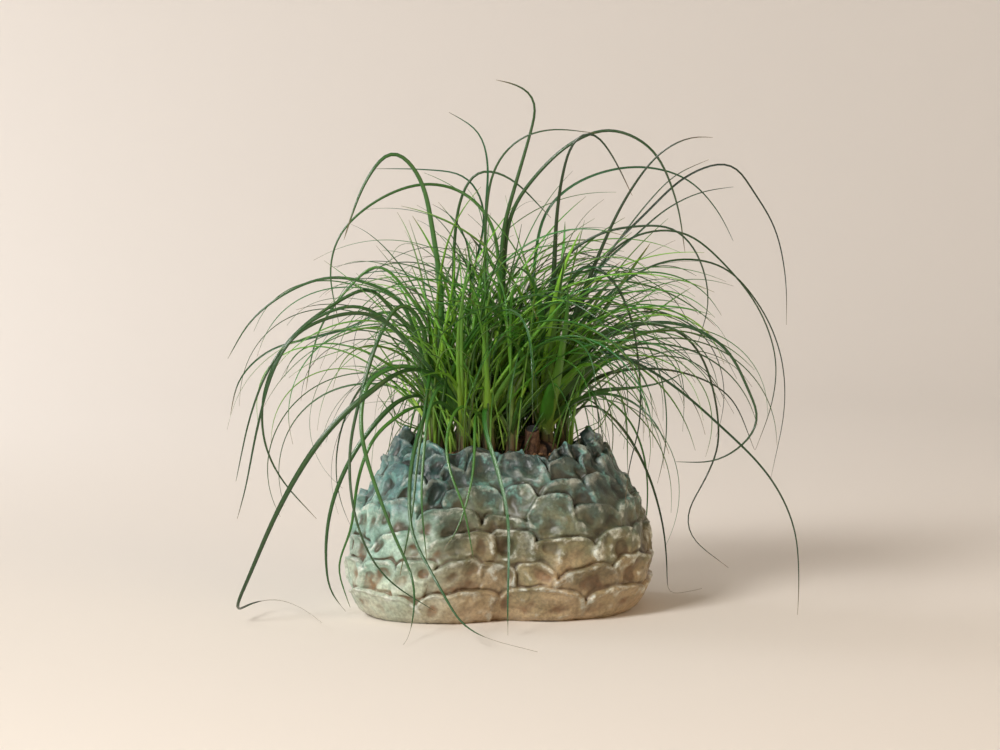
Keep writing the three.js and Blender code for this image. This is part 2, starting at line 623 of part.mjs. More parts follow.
function samplesOf(points, width, owner) {
  let total = 0;
  for (let i = 1; i < points.length; i += 1) total += points[i].distanceTo(points[i - 1]);
  const samples = [];
  let done = 0;
  for (let i = 1; i < points.length; i += 1) {
    const length = points[i].distanceTo(points[i - 1]);
    const count = Math.max(1, Math.round(length / SAMPLE));
    for (let j = 0; j < count; j += 1) {
      const along = done + (length * (j + 0.5)) / count;
      samples.push({
        point: points[i - 1].clone().lerp(points[i], (j + 0.5) / count),
        reach: widthAt(width, along / total) / 2,
        along,
        owner,
      });
    }
    done += length;
  }
  return samples;
}

function cellKey(i, j, k) {
  return (i + 100) * 1000000 + (j + 100) * 1000 + (k + 100);
}

function place(samples) {
  for (const sample of samples) {
    const { x, y, z } = sample.point;
    const key = cellKey(Math.floor(x / CELL), Math.floor(y / CELL), Math.floor(z / CELL));
    if (!placed.has(key)) placed.set(key, []);
    placed.get(key).push(sample);
  }
}

// Leaves of other shoots are kept off everywhere, and leaves of the same shoot beyond its base.
function isClear(samples, mayCrossSiblings) {
  for (const sample of samples) {
    if (touchesPot(sample)) return false;
    const { x, y, z } = sample.point;
    const [i, j, k] = [Math.floor(x / CELL), Math.floor(y / CELL), Math.floor(z / CELL)];
    for (let a = i - 1; a <= i + 1; a += 1) {
      for (let b = j - 1; b <= j + 1; b += 1) {
        for (let c = k - 1; c <= k + 1; c += 1) {
          for (const other of placed.get(cellKey(a, b, c)) ?? []) {
            const same = other.owner === sample.owner;
            if (same && (mayCrossSiblings || sample.along < 40 || other.along < 40)) continue;
            const gap = same ? 0.7 * (sample.reach + other.reach) : sample.reach + other.reach + 0.8;
            if (sample.point.distanceTo(other.point) < gap) return false;
          }
        }
      }
    }
  }
  return true;
}

// Whether an unlisted leaf stays in the crown. Only behind the planter may it hang low.
function isInCrown(path, lowest) {
  const floor = Math.min(lowest, path[0].z - 2);
  return path.every((point) => (point.z > floor || point.y > 70) && Math.hypot(
    (point.x - CROWN.x) / CROWN.halfWidth,
    point.y / CROWN.halfDepth,
    (point.z - CROWN.z) / CROWN.height,
  ) < 1);
}

// The stems and the stump hold their places before any leaf is drawn.
function reservePlaces() {
  for (const [owner, shoot] of Object.entries(SHOOTS)) {
    const samples = [];
    for (let z = 152; z < STEM_TOP + 6; z += 6) {
      const point = new THREE.Vector3(shoot.x, shoot.y, z);
      samples.push({ point, reach: stemRadius(shoot, z) + 1, along: 0, owner });
    }
    place(samples);
  }
  const samples = [];
  for (let z = 156; z < STUMP.top + 4; z += 5) {
    const point = new THREE.Vector3(STUMP.x, STUMP.y + (STUMP.top - z) * STUMP.lean, z);
    samples.push({ point, reach: STUMP.radius, along: 0, owner: 'stump' });
  }
  place(samples);
}

// A long leaf keeps its place in the front view, and moves in depth until it is clear of others.
function placeLongLeaf([name, width, waypoints], blades) {
  for (const shift of DEPTH_SHIFTS) {
    const points = joints(longLeafPath(SHOOTS[name], waypoints, shift), waypoints.length + 1);
    const samples = samplesOf(points, width, name);
    if (isClear(samples, true)) {
      place(samples);
      blades[name].push(bladeGeometry(points, width));
      return;
    }
  }
}

// An unlisted leaf is drawn again, each time a little shorter, until it is clear of others.
function placeLeaf(name, shootNumber, i, blades) {
  const shoot = SHOOTS[name];
  const rank = (i + 0.5) / shoot.leaves;
  for (let trial = 0; trial < TRIALS; trial += 1) {
    const random = randomStream(1 + shootNumber * 5000 + i * 50 + trial);
    const path = leafPath(shoot, rank, GOLDEN_ANGLE * i, random, trial);
    const width = 4 + 2 * random();
    const lowest = 110 + 130 * random();
    const points = joints(path, rank < 0.4 ? 4 : 6);
    const samples = samplesOf(points, width, name);
    if (isInCrown(path, lowest) && isClear(samples, false)) {
      place(samples);
      blades[name].push(bladeGeometry(points, width));
      return;
    }
  }
}

function growLeaves() {
  const names = Object.keys(SHOOTS);
  const blades = Object.fromEntries(names.map((name) => [name, []]));
  reservePlaces();
  for (const leaf of LONG_LEAVES) {
    placeLongLeaf(leaf, blades);
  }
  names.forEach((name, shootNumber) => {
    for (let i = 0; i < SHOOTS[name].leaves; i += 1) {
      placeLeaf(name, shootNumber, i, blades);
    }
  });
  return blades;
}

// ---------------------------------------------------------------- the whole plant

const group = new THREE.Group();

group.add(subPart('planter', planterGeometry(), 0x8c8d80, 0.6));

let soil = toSolid(soilGeometry()).subtract(toSolid(caudexGeometry(0.6)));
let caudex = toSolid(caudexGeometry(0)).add(toSolid(stumpGeometry()));
for (const shoot of Object.values(SHOOTS)) {
  const hole = toSolid(stemGeometry(shoot, CLEARANCE));
  soil = soil.subtract(hole);
  caudex = caudex.subtract(hole);
}
group.add(subPart('potting_soil', toGeometry(oneBody(soil)), 0x3a2c22, 0.95));
group.add(subPart('caudex', toGeometry(oneBody(caudex)), 0x6e4c38, 0.9));

const blades = growLeaves();
for (const [name, shoot] of Object.entries(SHOOTS)) {
  let solid = toSolid(stemGeometry(shoot, 0));
  for (const blade of blades[name]) {
    solid = solid.add(toSolid(blade));
  }
  const fused = oneBody(solid.simplify(SLIVER));
  group.add(subPart(`shoot_${name}`, toGeometry(fused), 0x4c8a3a, 0.5));
}

export default group;
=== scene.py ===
# %% [markdown]
# # A ponytail palm in a hand-built stoneware planter
# Many grass-like strap leaves arch out of nine leafy shoots round an old woody caudex. They grow
# in potting soil, in a bulging stoneware planter that was built from overlapping pads of clay,
# each pressed down with a thumb and glazed in earthy and sea-green tones.
# Lengths are in millimetres up to the moment when a mesh is made, which turns them to metres.

import math

import bpy
import numpy as np
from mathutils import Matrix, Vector


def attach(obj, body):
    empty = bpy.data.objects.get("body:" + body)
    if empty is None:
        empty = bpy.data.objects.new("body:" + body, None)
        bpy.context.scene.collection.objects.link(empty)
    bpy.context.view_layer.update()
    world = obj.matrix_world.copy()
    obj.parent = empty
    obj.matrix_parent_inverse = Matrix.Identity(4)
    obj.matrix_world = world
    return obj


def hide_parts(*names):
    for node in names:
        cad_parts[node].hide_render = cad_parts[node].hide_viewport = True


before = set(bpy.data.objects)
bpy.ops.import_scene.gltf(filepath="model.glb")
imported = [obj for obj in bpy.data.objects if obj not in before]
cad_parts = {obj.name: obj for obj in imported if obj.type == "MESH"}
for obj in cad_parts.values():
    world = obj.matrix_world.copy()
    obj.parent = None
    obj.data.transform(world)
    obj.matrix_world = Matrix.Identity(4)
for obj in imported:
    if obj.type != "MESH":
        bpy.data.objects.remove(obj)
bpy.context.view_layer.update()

# %% [markdown]
# ## The camera
# The picture is taken from 2.6 m in front of the planter and a little above the leaves, with a
# long lens, so the planter is seen almost square on and only a sliver of its mouth shows.
# The eye's distance and height are used again below, because the long leaves are drawn from
# where they cross the picture.

# %% Camera
EYE_DISTANCE = 2600
EYE_HEIGHT = 458.6
VIEW_DROP = 224         # how far below the eye the middle of the picture lies
LOOK_DOWN = math.atan(VIEW_DROP / EYE_DISTANCE)

camera_data = bpy.data.cameras.new("camera")
camera_data.lens = 93.6
camera_data.sensor_width = 36
camera_data.clip_end = 50
camera = bpy.data.objects.new("camera", camera_data)
camera.location = (0, -EYE_DISTANCE / 1000, EYE_HEIGHT / 1000)
camera.rotation_euler = (math.pi / 2 - LOOK_DOWN, 0, 0)
bpy.context.scene.collection.objects.link(camera)
bpy.context.scene.camera = camera
bpy.context.scene.view_settings.view_transform = "Standard"

# %% [markdown]
# ## Small helpers
# A colour is written as an sRGB hex value, as a colour picker shows it, and one function turns it
# to the linear numbers that a shader works in. One function adds a shader node, sets it up and
# links it. Meshes come from rings of points, so one function makes the faces of a closed tube of
# rings, and one turns points and faces to a piece.

# %% Colours and shader nodes
MIX_FACTOR, MIX_A, MIX_B, MIX_COLOUR = 0, 6, 7, 2   # sockets of a Mix node that mixes colours


def linear(hex_value):
    channels = [int(hex_value[i : i + 2], 16) / 255 for i in (1, 3, 5)]
    return [c / 12.92 if c <= 0.04045 else ((c + 0.055) / 1.055) ** 2.4 for c in channels] + [1.0]


def add_node(tree, kind, inputs=None, stops=None, **settings):
    """Adds a node with its settings, the values or links of its inputs and its ramp's colours."""
    node = tree.nodes.new(kind)
    for name, value in settings.items():
        setattr(node, name, value)
    for socket, value in (inputs or {}).items():
        if isinstance(value, bpy.types.NodeSocket):
            tree.links.new(value, node.inputs[socket])
        else:
            node.inputs[socket].default_value = value
    if stops:
        ramp = node.color_ramp
        while len(ramp.elements) < len(stops):
            ramp.elements.new(0.5)
        for element, (position, colour) in zip(ramp.elements, stops):
            element.position = position
            element.color = linear(colour)
    return node


def new_material(name):
    material = bpy.data.materials.new(name)
    material.use_nodes = True
    material.node_tree.nodes.clear()
    return material, material.node_tree


def finish_material(tree, inputs, bumps=()):
    """Puts the surface's inputs on the shader, over bumps (strength, distance in m, height)."""
    inputs = dict(inputs)
    for strength, distance, height in bumps:
        inputs["Normal"] = add_node(tree, "ShaderNodeBump", {
            "Strength": strength, "Distance": distance, "Height": height,
            **({"Normal": inputs["Normal"]} if "Normal" in inputs else {}),
        }).outputs[0]
    shader = add_node(tree, "ShaderNodeBsdfPrincipled", inputs)
    add_node(tree, "ShaderNodeOutputMaterial", {"Surface": shader.outputs["BSDF"]})


# %% Meshes
TURN = 2 * math.pi


def turns(columns):
    """Evenly spaced angles round a circle."""
    return TURN * np.arange(columns) / columns


def ring_at(angle, half_width, half_depth, z, x=0, y=0):
    """An oval ring of points round a place."""
    return np.stack([
        x + half_width * np.cos(angle), y + half_depth * np.sin(angle), z + 0 * angle,
    ], -1)


def tube_faces(rings, columns):
    """Quads round a tube whose points are laid out ring by ring."""
    i, j = np.meshgrid(np.arange(rings - 1), np.arange(columns), indexing="ij")
    here, beside = i * columns + j, i * columns + (j + 1) % columns
    return np.stack([here, beside, beside + columns, here + columns], -1).reshape(-1, 4)


def closed_tube(rings, columns, start=0, turned=False):
    """The faces of a tube and a lid on each end. The start is the number of its first point."""
    faces = (tube_faces(rings, columns) + start).tolist()
    last = start + (rings - 1) * columns
    faces += [list(range(start, start + columns))[::-1], list(range(last, last + columns))]
    return [face[::-1] for face in faces] if turned else faces


def make_piece(name, points, faces, material, node, values=None, crease=50):
    """A smooth shaded piece that replaces a CAD node, from points in mm."""
    mesh = bpy.data.meshes.new(name)
    mesh.from_pydata((np.asarray(points) / 1000).tolist(), [], faces)
    for label, numbers in (values or {}).items():
        attribute = mesh.attributes.new(label, "FLOAT", "POINT")
        attribute.data.foreach_set("value", np.asarray(numbers, dtype=np.float32).ravel())
    mesh.shade_smooth()
    mesh.set_sharp_from_angle(angle=math.radians(crease))
    mesh.materials.append(material)
    piece = bpy.data.objects.new(name, mesh)
    bpy.context.scene.collection.objects.link(piece)
    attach(piece, "root")
    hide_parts(node)
    print(f"{name}: {len(mesh.vertices)} points, {len(mesh.polygons)} faces")
    return piece


# %% Random numbers and noise
def random_stream(seed):
    """Even random numbers from 0 to 1 that are the same for the same seed."""
    span = 2**32
    state = (seed * 2654435761 + 12345) % span

    def draw():
        nonlocal state
        state = (state * 1664525 + 1013904223) % span
        return state / span

    draw()
    draw()
    return draw


def smooth_step(low, high, value):
    t = np.clip((value - low) / (high - low), 0, 1)
    return t * t * (3 - 2 * t)


def lumps(points, size, seed):
    """Smooth noise from -1 to 1 with lumps of about the given size in mm, at each point."""
    lattice = np.random.default_rng(seed).uniform(-1, 1, (32, 32, 32))
    cell = np.floor(points / size).astype(int)
    share = points / size - cell
    share = share * share * (3 - 2 * share)
    total = 0
    for corner in np.ndindex(2, 2, 2):
        weight = np.prod(np.where(corner, share, 1 - share), axis=-1)
        i, j, k = np.moveaxis((cell + corner) % 32, -1, 0)
        total = total + weight * lattice[i, j, k]
    return total


# %% [markdown]
# ## The planter's wall
# The planter bulges low down and draws in to a narrow mouth. Seen from above it is between an oval
# and a box, flatter from front to back, with a shallow waist and a foot that is skewed a little.
# Circles could be lofted into a round pot, but this wall isn't round, so a formula gives it at
# any angle and height. Everything else is laid out on it: the pads outside, the soil inside,
# and the leaves that keep off it.

# %% The smooth wall
BELLY_HALF_WIDTH, BELLY_HEIGHT, FOOT_TUCK, MOUTH_TUCK = 151, 45, 14, 57
MOUTH_HEIGHT, MOUTH_SHIFT = 165, -2
DEPTH_AT_FOOT, DEPTH_LOSS = 0.75, 0.08
WAIST_X, WAIST_DEPTH, WAIST_SPREAD = 0, 14, 32
PLAN_POWER = 2.7        # 2 makes the plan an oval, more draws its corners out
SKEW = 0.1              # the left end of the foot stands forward, the right end back
WALL, FLOOR_THICKNESS = 9, 10
LEAN_STEP = 4           # the wall's lean is taken between this far below and above a point


def wall_half_width(z):
    low = BELLY_HALF_WIDTH - FOOT_TUCK * (np.maximum(BELLY_HEIGHT - z, 0) / BELLY_HEIGHT) ** 2.6
    rise = (z - BELLY_HEIGHT) / (MOUTH_HEIGHT - BELLY_HEIGHT)
    return np.where(z < BELLY_HEIGHT, low, BELLY_HALF_WIDTH - MOUTH_TUCK * rise**2)


def wall_half_depth(z):
    return wall_half_width(z) * (DEPTH_AT_FOOT - DEPTH_LOSS * (z / MOUTH_HEIGHT) ** 2)


def mouth_shift(z):
    return MOUTH_SHIFT * (z / MOUTH_HEIGHT) ** 2


def skew_at(x, z):
    return SKEW * x * np.maximum(0, 1 - (z / MOUTH_HEIGHT) ** 2)


def wall_point(angle, z, out):
    """The wall at an angle and a height, moved out square to it."""
    half_width, half_depth = wall_half_width(z), wall_half_depth(z)
    across, along = np.cos(angle), np.sin(angle)
    reach = (np.abs(across) ** PLAN_POWER + np.abs(along) ** PLAN_POWER) ** (-1 / PLAN_POWER)
    x = half_width * across * reach
    waist = WAIST_DEPTH * np.exp(-(((x - WAIST_X) / WAIST_SPREAD) ** 2))
    y = (half_depth * reach - waist) * along + skew_at(x, z)
    normal_x = np.sign(across) * np.abs(across) ** (PLAN_POWER - 1) / half_width
    normal_y = np.sign(along) * np.abs(along) ** (PLAN_POWER - 1) / half_depth
    length = np.hypot(normal_x, normal_y)
    narrowing = wall_half_width(z - LEAN_STEP) - wall_half_width(z + LEAN_STEP)
    lean = np.clip(narrowing / (2 * LEAN_STEP), 0, 1)
    flat = 1 / np.hypot(1, lean)
    return np.stack([
        x + mouth_shift(z) + out * normal_x / length * flat,
        y + out * normal_y / length * flat,
        z + out * lean * flat,
    ], -1)


# %% [markdown]
# ## The clay pads
# Seven rows of thumb-sized pads overlap like roof tiles laid upside down: the rounded upper edge
# of each pad stands off the row above it. Sculpting them by hand would be the usual way. Here each
# pad is worked out from its own few random numbers (a bulge, a height, a tilt, two to four thumb
# prints), which keeps the mesh an even grid and the result the same every time. Above the
# bottom row, a pad that would be too wide for a thumb is laid as two.

# %% Pads: their numbers
ROW_TOPS = [32, 60, 83, 110, 134, 152, 166]
ROW_PADS = [11, 15, 17, 18, 17, 15, 13]
LAST_ROW = len(ROW_TOPS) - 1
HORNS = [(0.0, 7, 0.15), (math.pi, 5, 0.17)]       # angle, rise and spread
HORN_LEAN, HORN_FOOT, HORN_HEIGHT = 7, 140, 42      # how far out, from where, and over what height
RIM_DIP = (-1.17, 7, 0.32)                          # angle, depth and spread
CREVICE = -3.5
LIP_RADIUS = 2.3
PAD_REACH = 128         # mm from the planter's axis, to turn a pad's angle into its width
# The lip mask pales the glaze, partly where it breaks thin and partly as painted highlight.
PLANTER_MASKS = ("lip", "crevice_and_shade", "thumb", "tone", "proud")
PAD_MASKS = PLANTER_MASKS[:4]       # the ones that the pads bring; "proud" comes from the whole skin
# the crevice mask darkens the glaze as painted shade
CREVICE_SHADE_MASK = PAD_MASKS.index("crevice_and_shade")


def pad_row(row):
    draw = random_stream(900 + row)
    count = ROW_PADS[row]
    turn = draw() * TURN
    pads = []
    for i in range(count):
        pads.append([
            turn + (i + 0.36 * (draw() - 0.5)) * TURN / count,   # where it starts
            5.5 + 4.5 * draw(),                                  # bulge
            6.5 * (draw() - 0.35),                               # extra height
            3 * (draw() - 0.5),                                  # tilt
            0.5 + 2.5 * draw(),                                  # dent in its middle
        ])
    return np.array(pads)


PAD_ROWS = [pad_row(row) for row in range(len(ROW_TOPS))]


def apart(angle, other):
    """The turn from one angle to another, from minus to plus half a turn."""
    return np.arctan2(np.sin(angle - other), np.cos(angle - other))


def rim_height(angle):
    """The planter's upper edge: a rounded lobe for each pad, two horns and a dip at the front."""
    pads = PAD_ROWS[LAST_ROW]
    starts = pads[:, 0]
    a = starts[0] + (angle - starts[0]) % TURN
    number = np.maximum(np.searchsorted(starts, a, side="right") - 1, 0)
    span = np.append(starts[1:], starts[0] + TURN)[number] - starts[number]
    across = np.clip((a - starts[number]) / span, 0, 1)
    z = ROW_TOPS[LAST_ROW] + (7.5 + pads[number, 2]) * np.sin(math.pi * across) ** 0.6 - 4.5
    for horn_angle, rise, spread in HORNS:
        z = z + rise * np.exp(-((apart(angle, horn_angle) / spread) ** 2))
    dip_angle, depth, spread = RIM_DIP
    return z - depth * np.exp(-((apart(angle, dip_angle) / spread) ** 2))


def horn_lean(angle, z):
    """The horns lean outwards, and the wall below them with them."""
    total = 0
    for horn_angle, _, spread in HORNS:
        total = total + np.exp(-((apart(angle, horn_angle) / (1.6 * spread)) ** 2))
    return HORN_LEAN * total * np.clip((z - HORN_FOOT) / HORN_HEIGHT, 0, 1)


# %% [markdown]
# The pads are laid on the wall like paint: the top row first, then each lower row over the foot
# of the one above, and in a row in any order. A pad covers what lies under it, presses a thin
# crevice round its own edge, and carries a raised rim, a tilt and thumb prints.

# %% Laying one pad
ROW_RELIEF = [0.7, 0.75, 0.85, 0.9, 0.95, 0.95, 0.9]


def pad_shape(pad, s, z, rim):
    """At places on a pad: distance inside its edge, height and place across, how near its upper
    edge rather than its sides, and how far out it stands."""
    foot, top, half = pad["foot"], pad["top"], pad["half"]
    across = (s * math.cos(pad["turn"]) + (z - (foot + top) / 2) * math.sin(pad["turn"])) / half
    if pad["row"] == LAST_ROW:
        up = (z - foot) / (rim - foot)
        over = 0 * up
    else:
        up = (z - foot) / (top - foot + 3 * pad["skew"] * across)
        over = np.maximum(up - 0.4, 0) / 0.6
    corner = pad["corner"]
    ring = (np.abs(across) ** corner + over**corner) ** (1 / corner)
    size = (half * np.abs(across) + 0.6 * (top - foot) * over) / (np.abs(across) + over + 1e-6)
    inside = (1 - ring) * size
    rise = 0.5 * smooth_step(0.05, 0.4, up) + 0.5 * np.clip(up, 0, 1.05) ** 1.6
    out = CREVICE + 0.6 + pad["lift"] + pad["bulge"] * ROW_RELIEF[pad["row"]] * rise
    out = out + pad["tilt"] * across * up
    out = out + pad["rim"] * np.exp(-(((inside - 2.2) / 1.9) ** 2)) * smooth_step(0.3, 0.7, up)
    out = out - pad["dish"] * np.clip(1 - ring, 0, 1) ** 0.7 * smooth_step(0.1, 0.5, up)
    out = out - 1.2 * np.exp(-np.maximum(inside, 0) / 0.8)
    return inside, up, across, over / (over + 0.5 * np.abs(across) + 1e-6), out


def thumb_prints(pad, across, up):
    """How deep the thumb prints are at places on a pad, and their mask."""
    depth, mask = 0.0, 0.0
    for centre, level, reach, press in pad["prints"]:
        side = (across - centre) * pad["half"]
        away = np.hypot(side, (up - level) * (pad["top"] - pad["foot"])) / reach
        depth = depth + press * (np.exp(-(away**2.4)) - 0.3 * np.exp(-(((away - 1.35) * 2.6) ** 2)))
        mask = np.maximum(mask, press / 4 * np.exp(-(away**2)))
    return depth, mask


# %% Where each pad lies
WIDEST_PAD = 56         # mm: above the bottom row, a wider pad is laid as two


def split_pads(starts, row):
    """(pad, part) for each pad of a row: part 0 for a whole one, -1 and 1 for its two halves."""
    found = []
    for i in range(len(starts) - 1):
        wide = row > 0 and (starts[i + 1] - starts[i]) * PAD_REACH > WIDEST_PAD
        found += [(i, -1), (i, 1)] if wide else [(i, 0)]
    return found


def pad_places():
    """Every pad with its own temper, in the order in which they are laid."""
    rng = np.random.default_rng(81)
    pads = []
    for row in reversed(range(len(ROW_TOPS))):
        numbers = PAD_ROWS[row]
        starts = np.append(numbers[:, 0], numbers[0, 0] + TURN)
        for i, part in rng.permutation(split_pads(starts, row)):
            width = (starts[i + 1] - starts[i]) / max(1, 2 * abs(part))
            middle = (starts[i] + starts[i + 1]) / 2 + part * width / 2
            half = width / 2 * PAD_REACH * rng.uniform(1.02, 1.16)
            ends = math.exp(-((apart(middle, 0.0) / 0.75) ** 2))
            ends += 0.7 * math.exp(-((apart(middle, math.pi) / 0.6) ** 2))
            drop = 3 if row in (0, LAST_ROW) else 7
            pads.append({
                "row": row, "middle": middle, "half": half,
                "foot": ROW_TOPS[row - 1] - 14 if row else -12,
                "top": ROW_TOPS[row] + 3 + 0.8 * numbers[i, 2] + rng.uniform(-drop, drop),
                "bulge": numbers[i, 1] + (8 if row > 1 else 3) * ends * rng.uniform(0.3, 1),
                "tilt": numbers[i, 3] * 0.8, "turn": rng.uniform(-0.22, 0.22),
                "skew": rng.uniform(-1, 1), "corner": rng.uniform(2.5, 5.0),
                "lift": rng.uniform(-2.2, 1.6), "rim": rng.uniform(0.8, 3.0),
                "dish": rng.uniform(1.0, 4.5),
                "firm": rng.uniform(0.35, 1), "tone": rng.uniform(0, 1),
                "prints": [
                    (rng.uniform(-0.75, 0.75), rng.uniform(0.5, 0.85), rng.uniform(6, 11),
                     rng.uniform(1.0, 4.2) * (1 if row else 0.45)) for _ in range(rng.integers(2, 5))
                ],
            })
    return pads


def lay_pads(angle, z, rim):
    """How far out the skin is after all the pads are laid, and its four masks."""
    out = CREVICE + 0 * z
    masks = np.zeros((len(PAD_MASKS), *z.shape))
    for pad in pad_places():
        s = apart(angle, pad["middle"]) * PAD_REACH
        low, high = pad["foot"] - 1, 999 if pad["row"] == LAST_ROW else pad["top"] + 9
        near = (np.abs(s) < pad["half"] + 9) & (z > low) & (z < high)
        inside, up, across, upper, face = pad_shape(pad, s[near], z[near], rim[near])
        prints, print_mask = thumb_prints(pad, across, up)
        share = smooth_step(-0.8, 0.9, inside)
        # the crevice both cuts a groove and marks painted shade for the glaze
        crevice_and_shade = np.exp(-(((inside + 1.2) / 1.25) ** 2)) * smooth_step(0.25, 0.6, up)
        crevice_and_shade = crevice_and_shade * pad["firm"] * (0.6 + 0.4 * upper)
        under = out[near] - 2.0 * crevice_and_shade
        out[near] = under * (1 - share) + (face - prints) * share
        # the lip mask pales the glaze on a pad's rim, partly where it breaks thin and partly as painted
        # highlight
        lip = np.exp(-(((inside - 1.5) / 1.5) ** 2)) * smooth_step(0.3, 0.7, up) * (0.7 + 0.3 * upper)
        for mask, value in zip(masks, (lip, 0, print_mask, pad["tone"])):
            mask[near] = mask[near] * (1 - share) + value * share
        # just outside a pad's edge the crevice mask keeps its darkest, which the glaze shows as painted
        # shade
        gap = masks[CREVICE_SHADE_MASK]
        gap[near] = np.maximum(gap[near], crevice_and_shade * (1 - share))
    return out, masks


# %% [markdown]
# Laid out like that the pads are still too tidy. The pattern is pushed about along the wall by noise of a
# hand's and a thumb's size, patches of it are smeared flat, as where the potter wiped the wet clay, and the
# whole is dented by smaller noise. What then stands proud of its surroundings becomes a mask of its own,
# because that is where glaze breaks pale and where a painted highlight goes.

# %% The whole skin, ring by ring
COLUMNS = 620
FACE_RINGS = 142


def box_blur(grid, reach, axis):
    """The mean of a grid of numbers over a few neighbours to each side. Columns wrap round."""
    total = 0
    for shift in range(-reach, reach + 1):
        if axis == 1:
            total = total + np.roll(grid, shift, axis=1)
        else:
            rows = np.clip(np.arange(len(grid)) + shift, 0, len(grid) - 1)
            total = total + grid[rows]
    return total / (2 * reach + 1)


def blurred(grid, reach):
    for axis in (0, 1, 0, 1):
        grid = box_blur(grid, reach, axis)
    return grid


def planter_faces_out():
    """The outer face as grids: angle, height, how far out, and the masks."""
    angle = turns(COLUMNS)
    rim = rim_height(angle)
    lift = 2.2 * np.maximum(lumps(wall_point(angle, 0 * angle, 0 * angle) + 500, 34, 3), 0)
    share = np.linspace(0, 1, FACE_RINGS)[:, None]
    z = lift + (rim - LIP_RADIUS - lift) * share
    angle, rim = angle + 0 * z, rim + 0 * z
    spots = wall_point(angle, z, 0 * z) + 1000
    along = 4.5 * lumps(spots, 38, 201) + 2.6 * lumps(spots, 13, 202)
    rise = (5.5 * lumps(spots, 46, 203) + 2.4 * lumps(spots, 13, 204)) * smooth_step(0, 30, z)
    out, masks = lay_pads(angle + along / PAD_REACH, z + rise, rim)
    smear = smooth_step(0.15, 0.6, lumps(spots, 30, 205) + 0.4 * smooth_step(30, 8, z))
    fine = 2
    out = out + 0.85 * smear * (blurred(out, fine) - out)
    masks[CREVICE_SHADE_MASK] = masks[CREVICE_SHADE_MASK] * (1 - 0.85 * smear)
    out = out + 1.5 * lumps(spots, 24, 11) + 1.3 * lumps(spots, 11, 12) + 0.6 * lumps(spots, 5, 13)
    proud = out - blurred(out, 3 * fine)
    out = out - 3.0 * smooth_step(8, 0, z) ** 2 + horn_lean(angle, z)
    return angle[0], z, out, np.concatenate([masks, proud[None]])


# %% The planter piece
def planter_skin():
    angle, z, out, masks = planter_faces_out()
    rim = rim_height(angle)
    rings = [(0 * angle, -12 + 0 * angle)] + list(zip(z, out))
    edge = out[-1]
    for bend in (35, 75, 115, 150):                           # over the lip
        turn = math.radians(bend)
        rings.append((rim + LIP_RADIUS * (math.sin(turn) - 1), edge + LIP_RADIUS * (math.cos(turn) - 1)))
    lean = horn_lean(angle, rim)
    rings += [(rim - 0.6, lean - WALL + 2), (rim - 3.5, lean - WALL)]
    for height in (150, 110, 45, FLOOR_THICKNESS):
        rings.append((height + 0 * angle, -WALL + 0 * angle))
    rings.append((FLOOR_THICKNESS + 0 * angle, -30 + 0 * angle))
    points = np.array([wall_point(angle, *ring) for ring in rings])
    points[..., 2] = np.maximum(points[..., 2], 0)
    points[0, :, 2] = 0
    points[-2:, :, 2] = FLOOR_THICKNESS
    # the same five masks for the rings over the lip, and for the foot's and the inside's
    # over the lip the pale lip mask is partly painted highlight
    lip_mask = np.array([0.8, 0, 0, 0.5, 0.5])[:, None, None] + 0 * masks[:, :5]
    # inside the mouth and at the foot the crevice mask is 0.6: painted shade
    inner_with_shade = np.array([0, 0.6, 0, 0.5, 0])[:, None, None] + 0 * masks[:, :6]
    masks = np.concatenate([inner_with_shade[:, :1], masks, lip_mask, inner_with_shade], axis=1)
    return points, masks


planter_points, planter_masks = planter_skin()
planter_rings = len(planter_points)
planter_points = planter_points.reshape(-1, 3)
planter_masks = planter_masks.reshape(len(PLANTER_MASKS), -1)
planter_faces = closed_tube(planter_rings, COLUMNS)
print("planter box in mm:", planter_points.min(0).round(), planter_points.max(0).round())
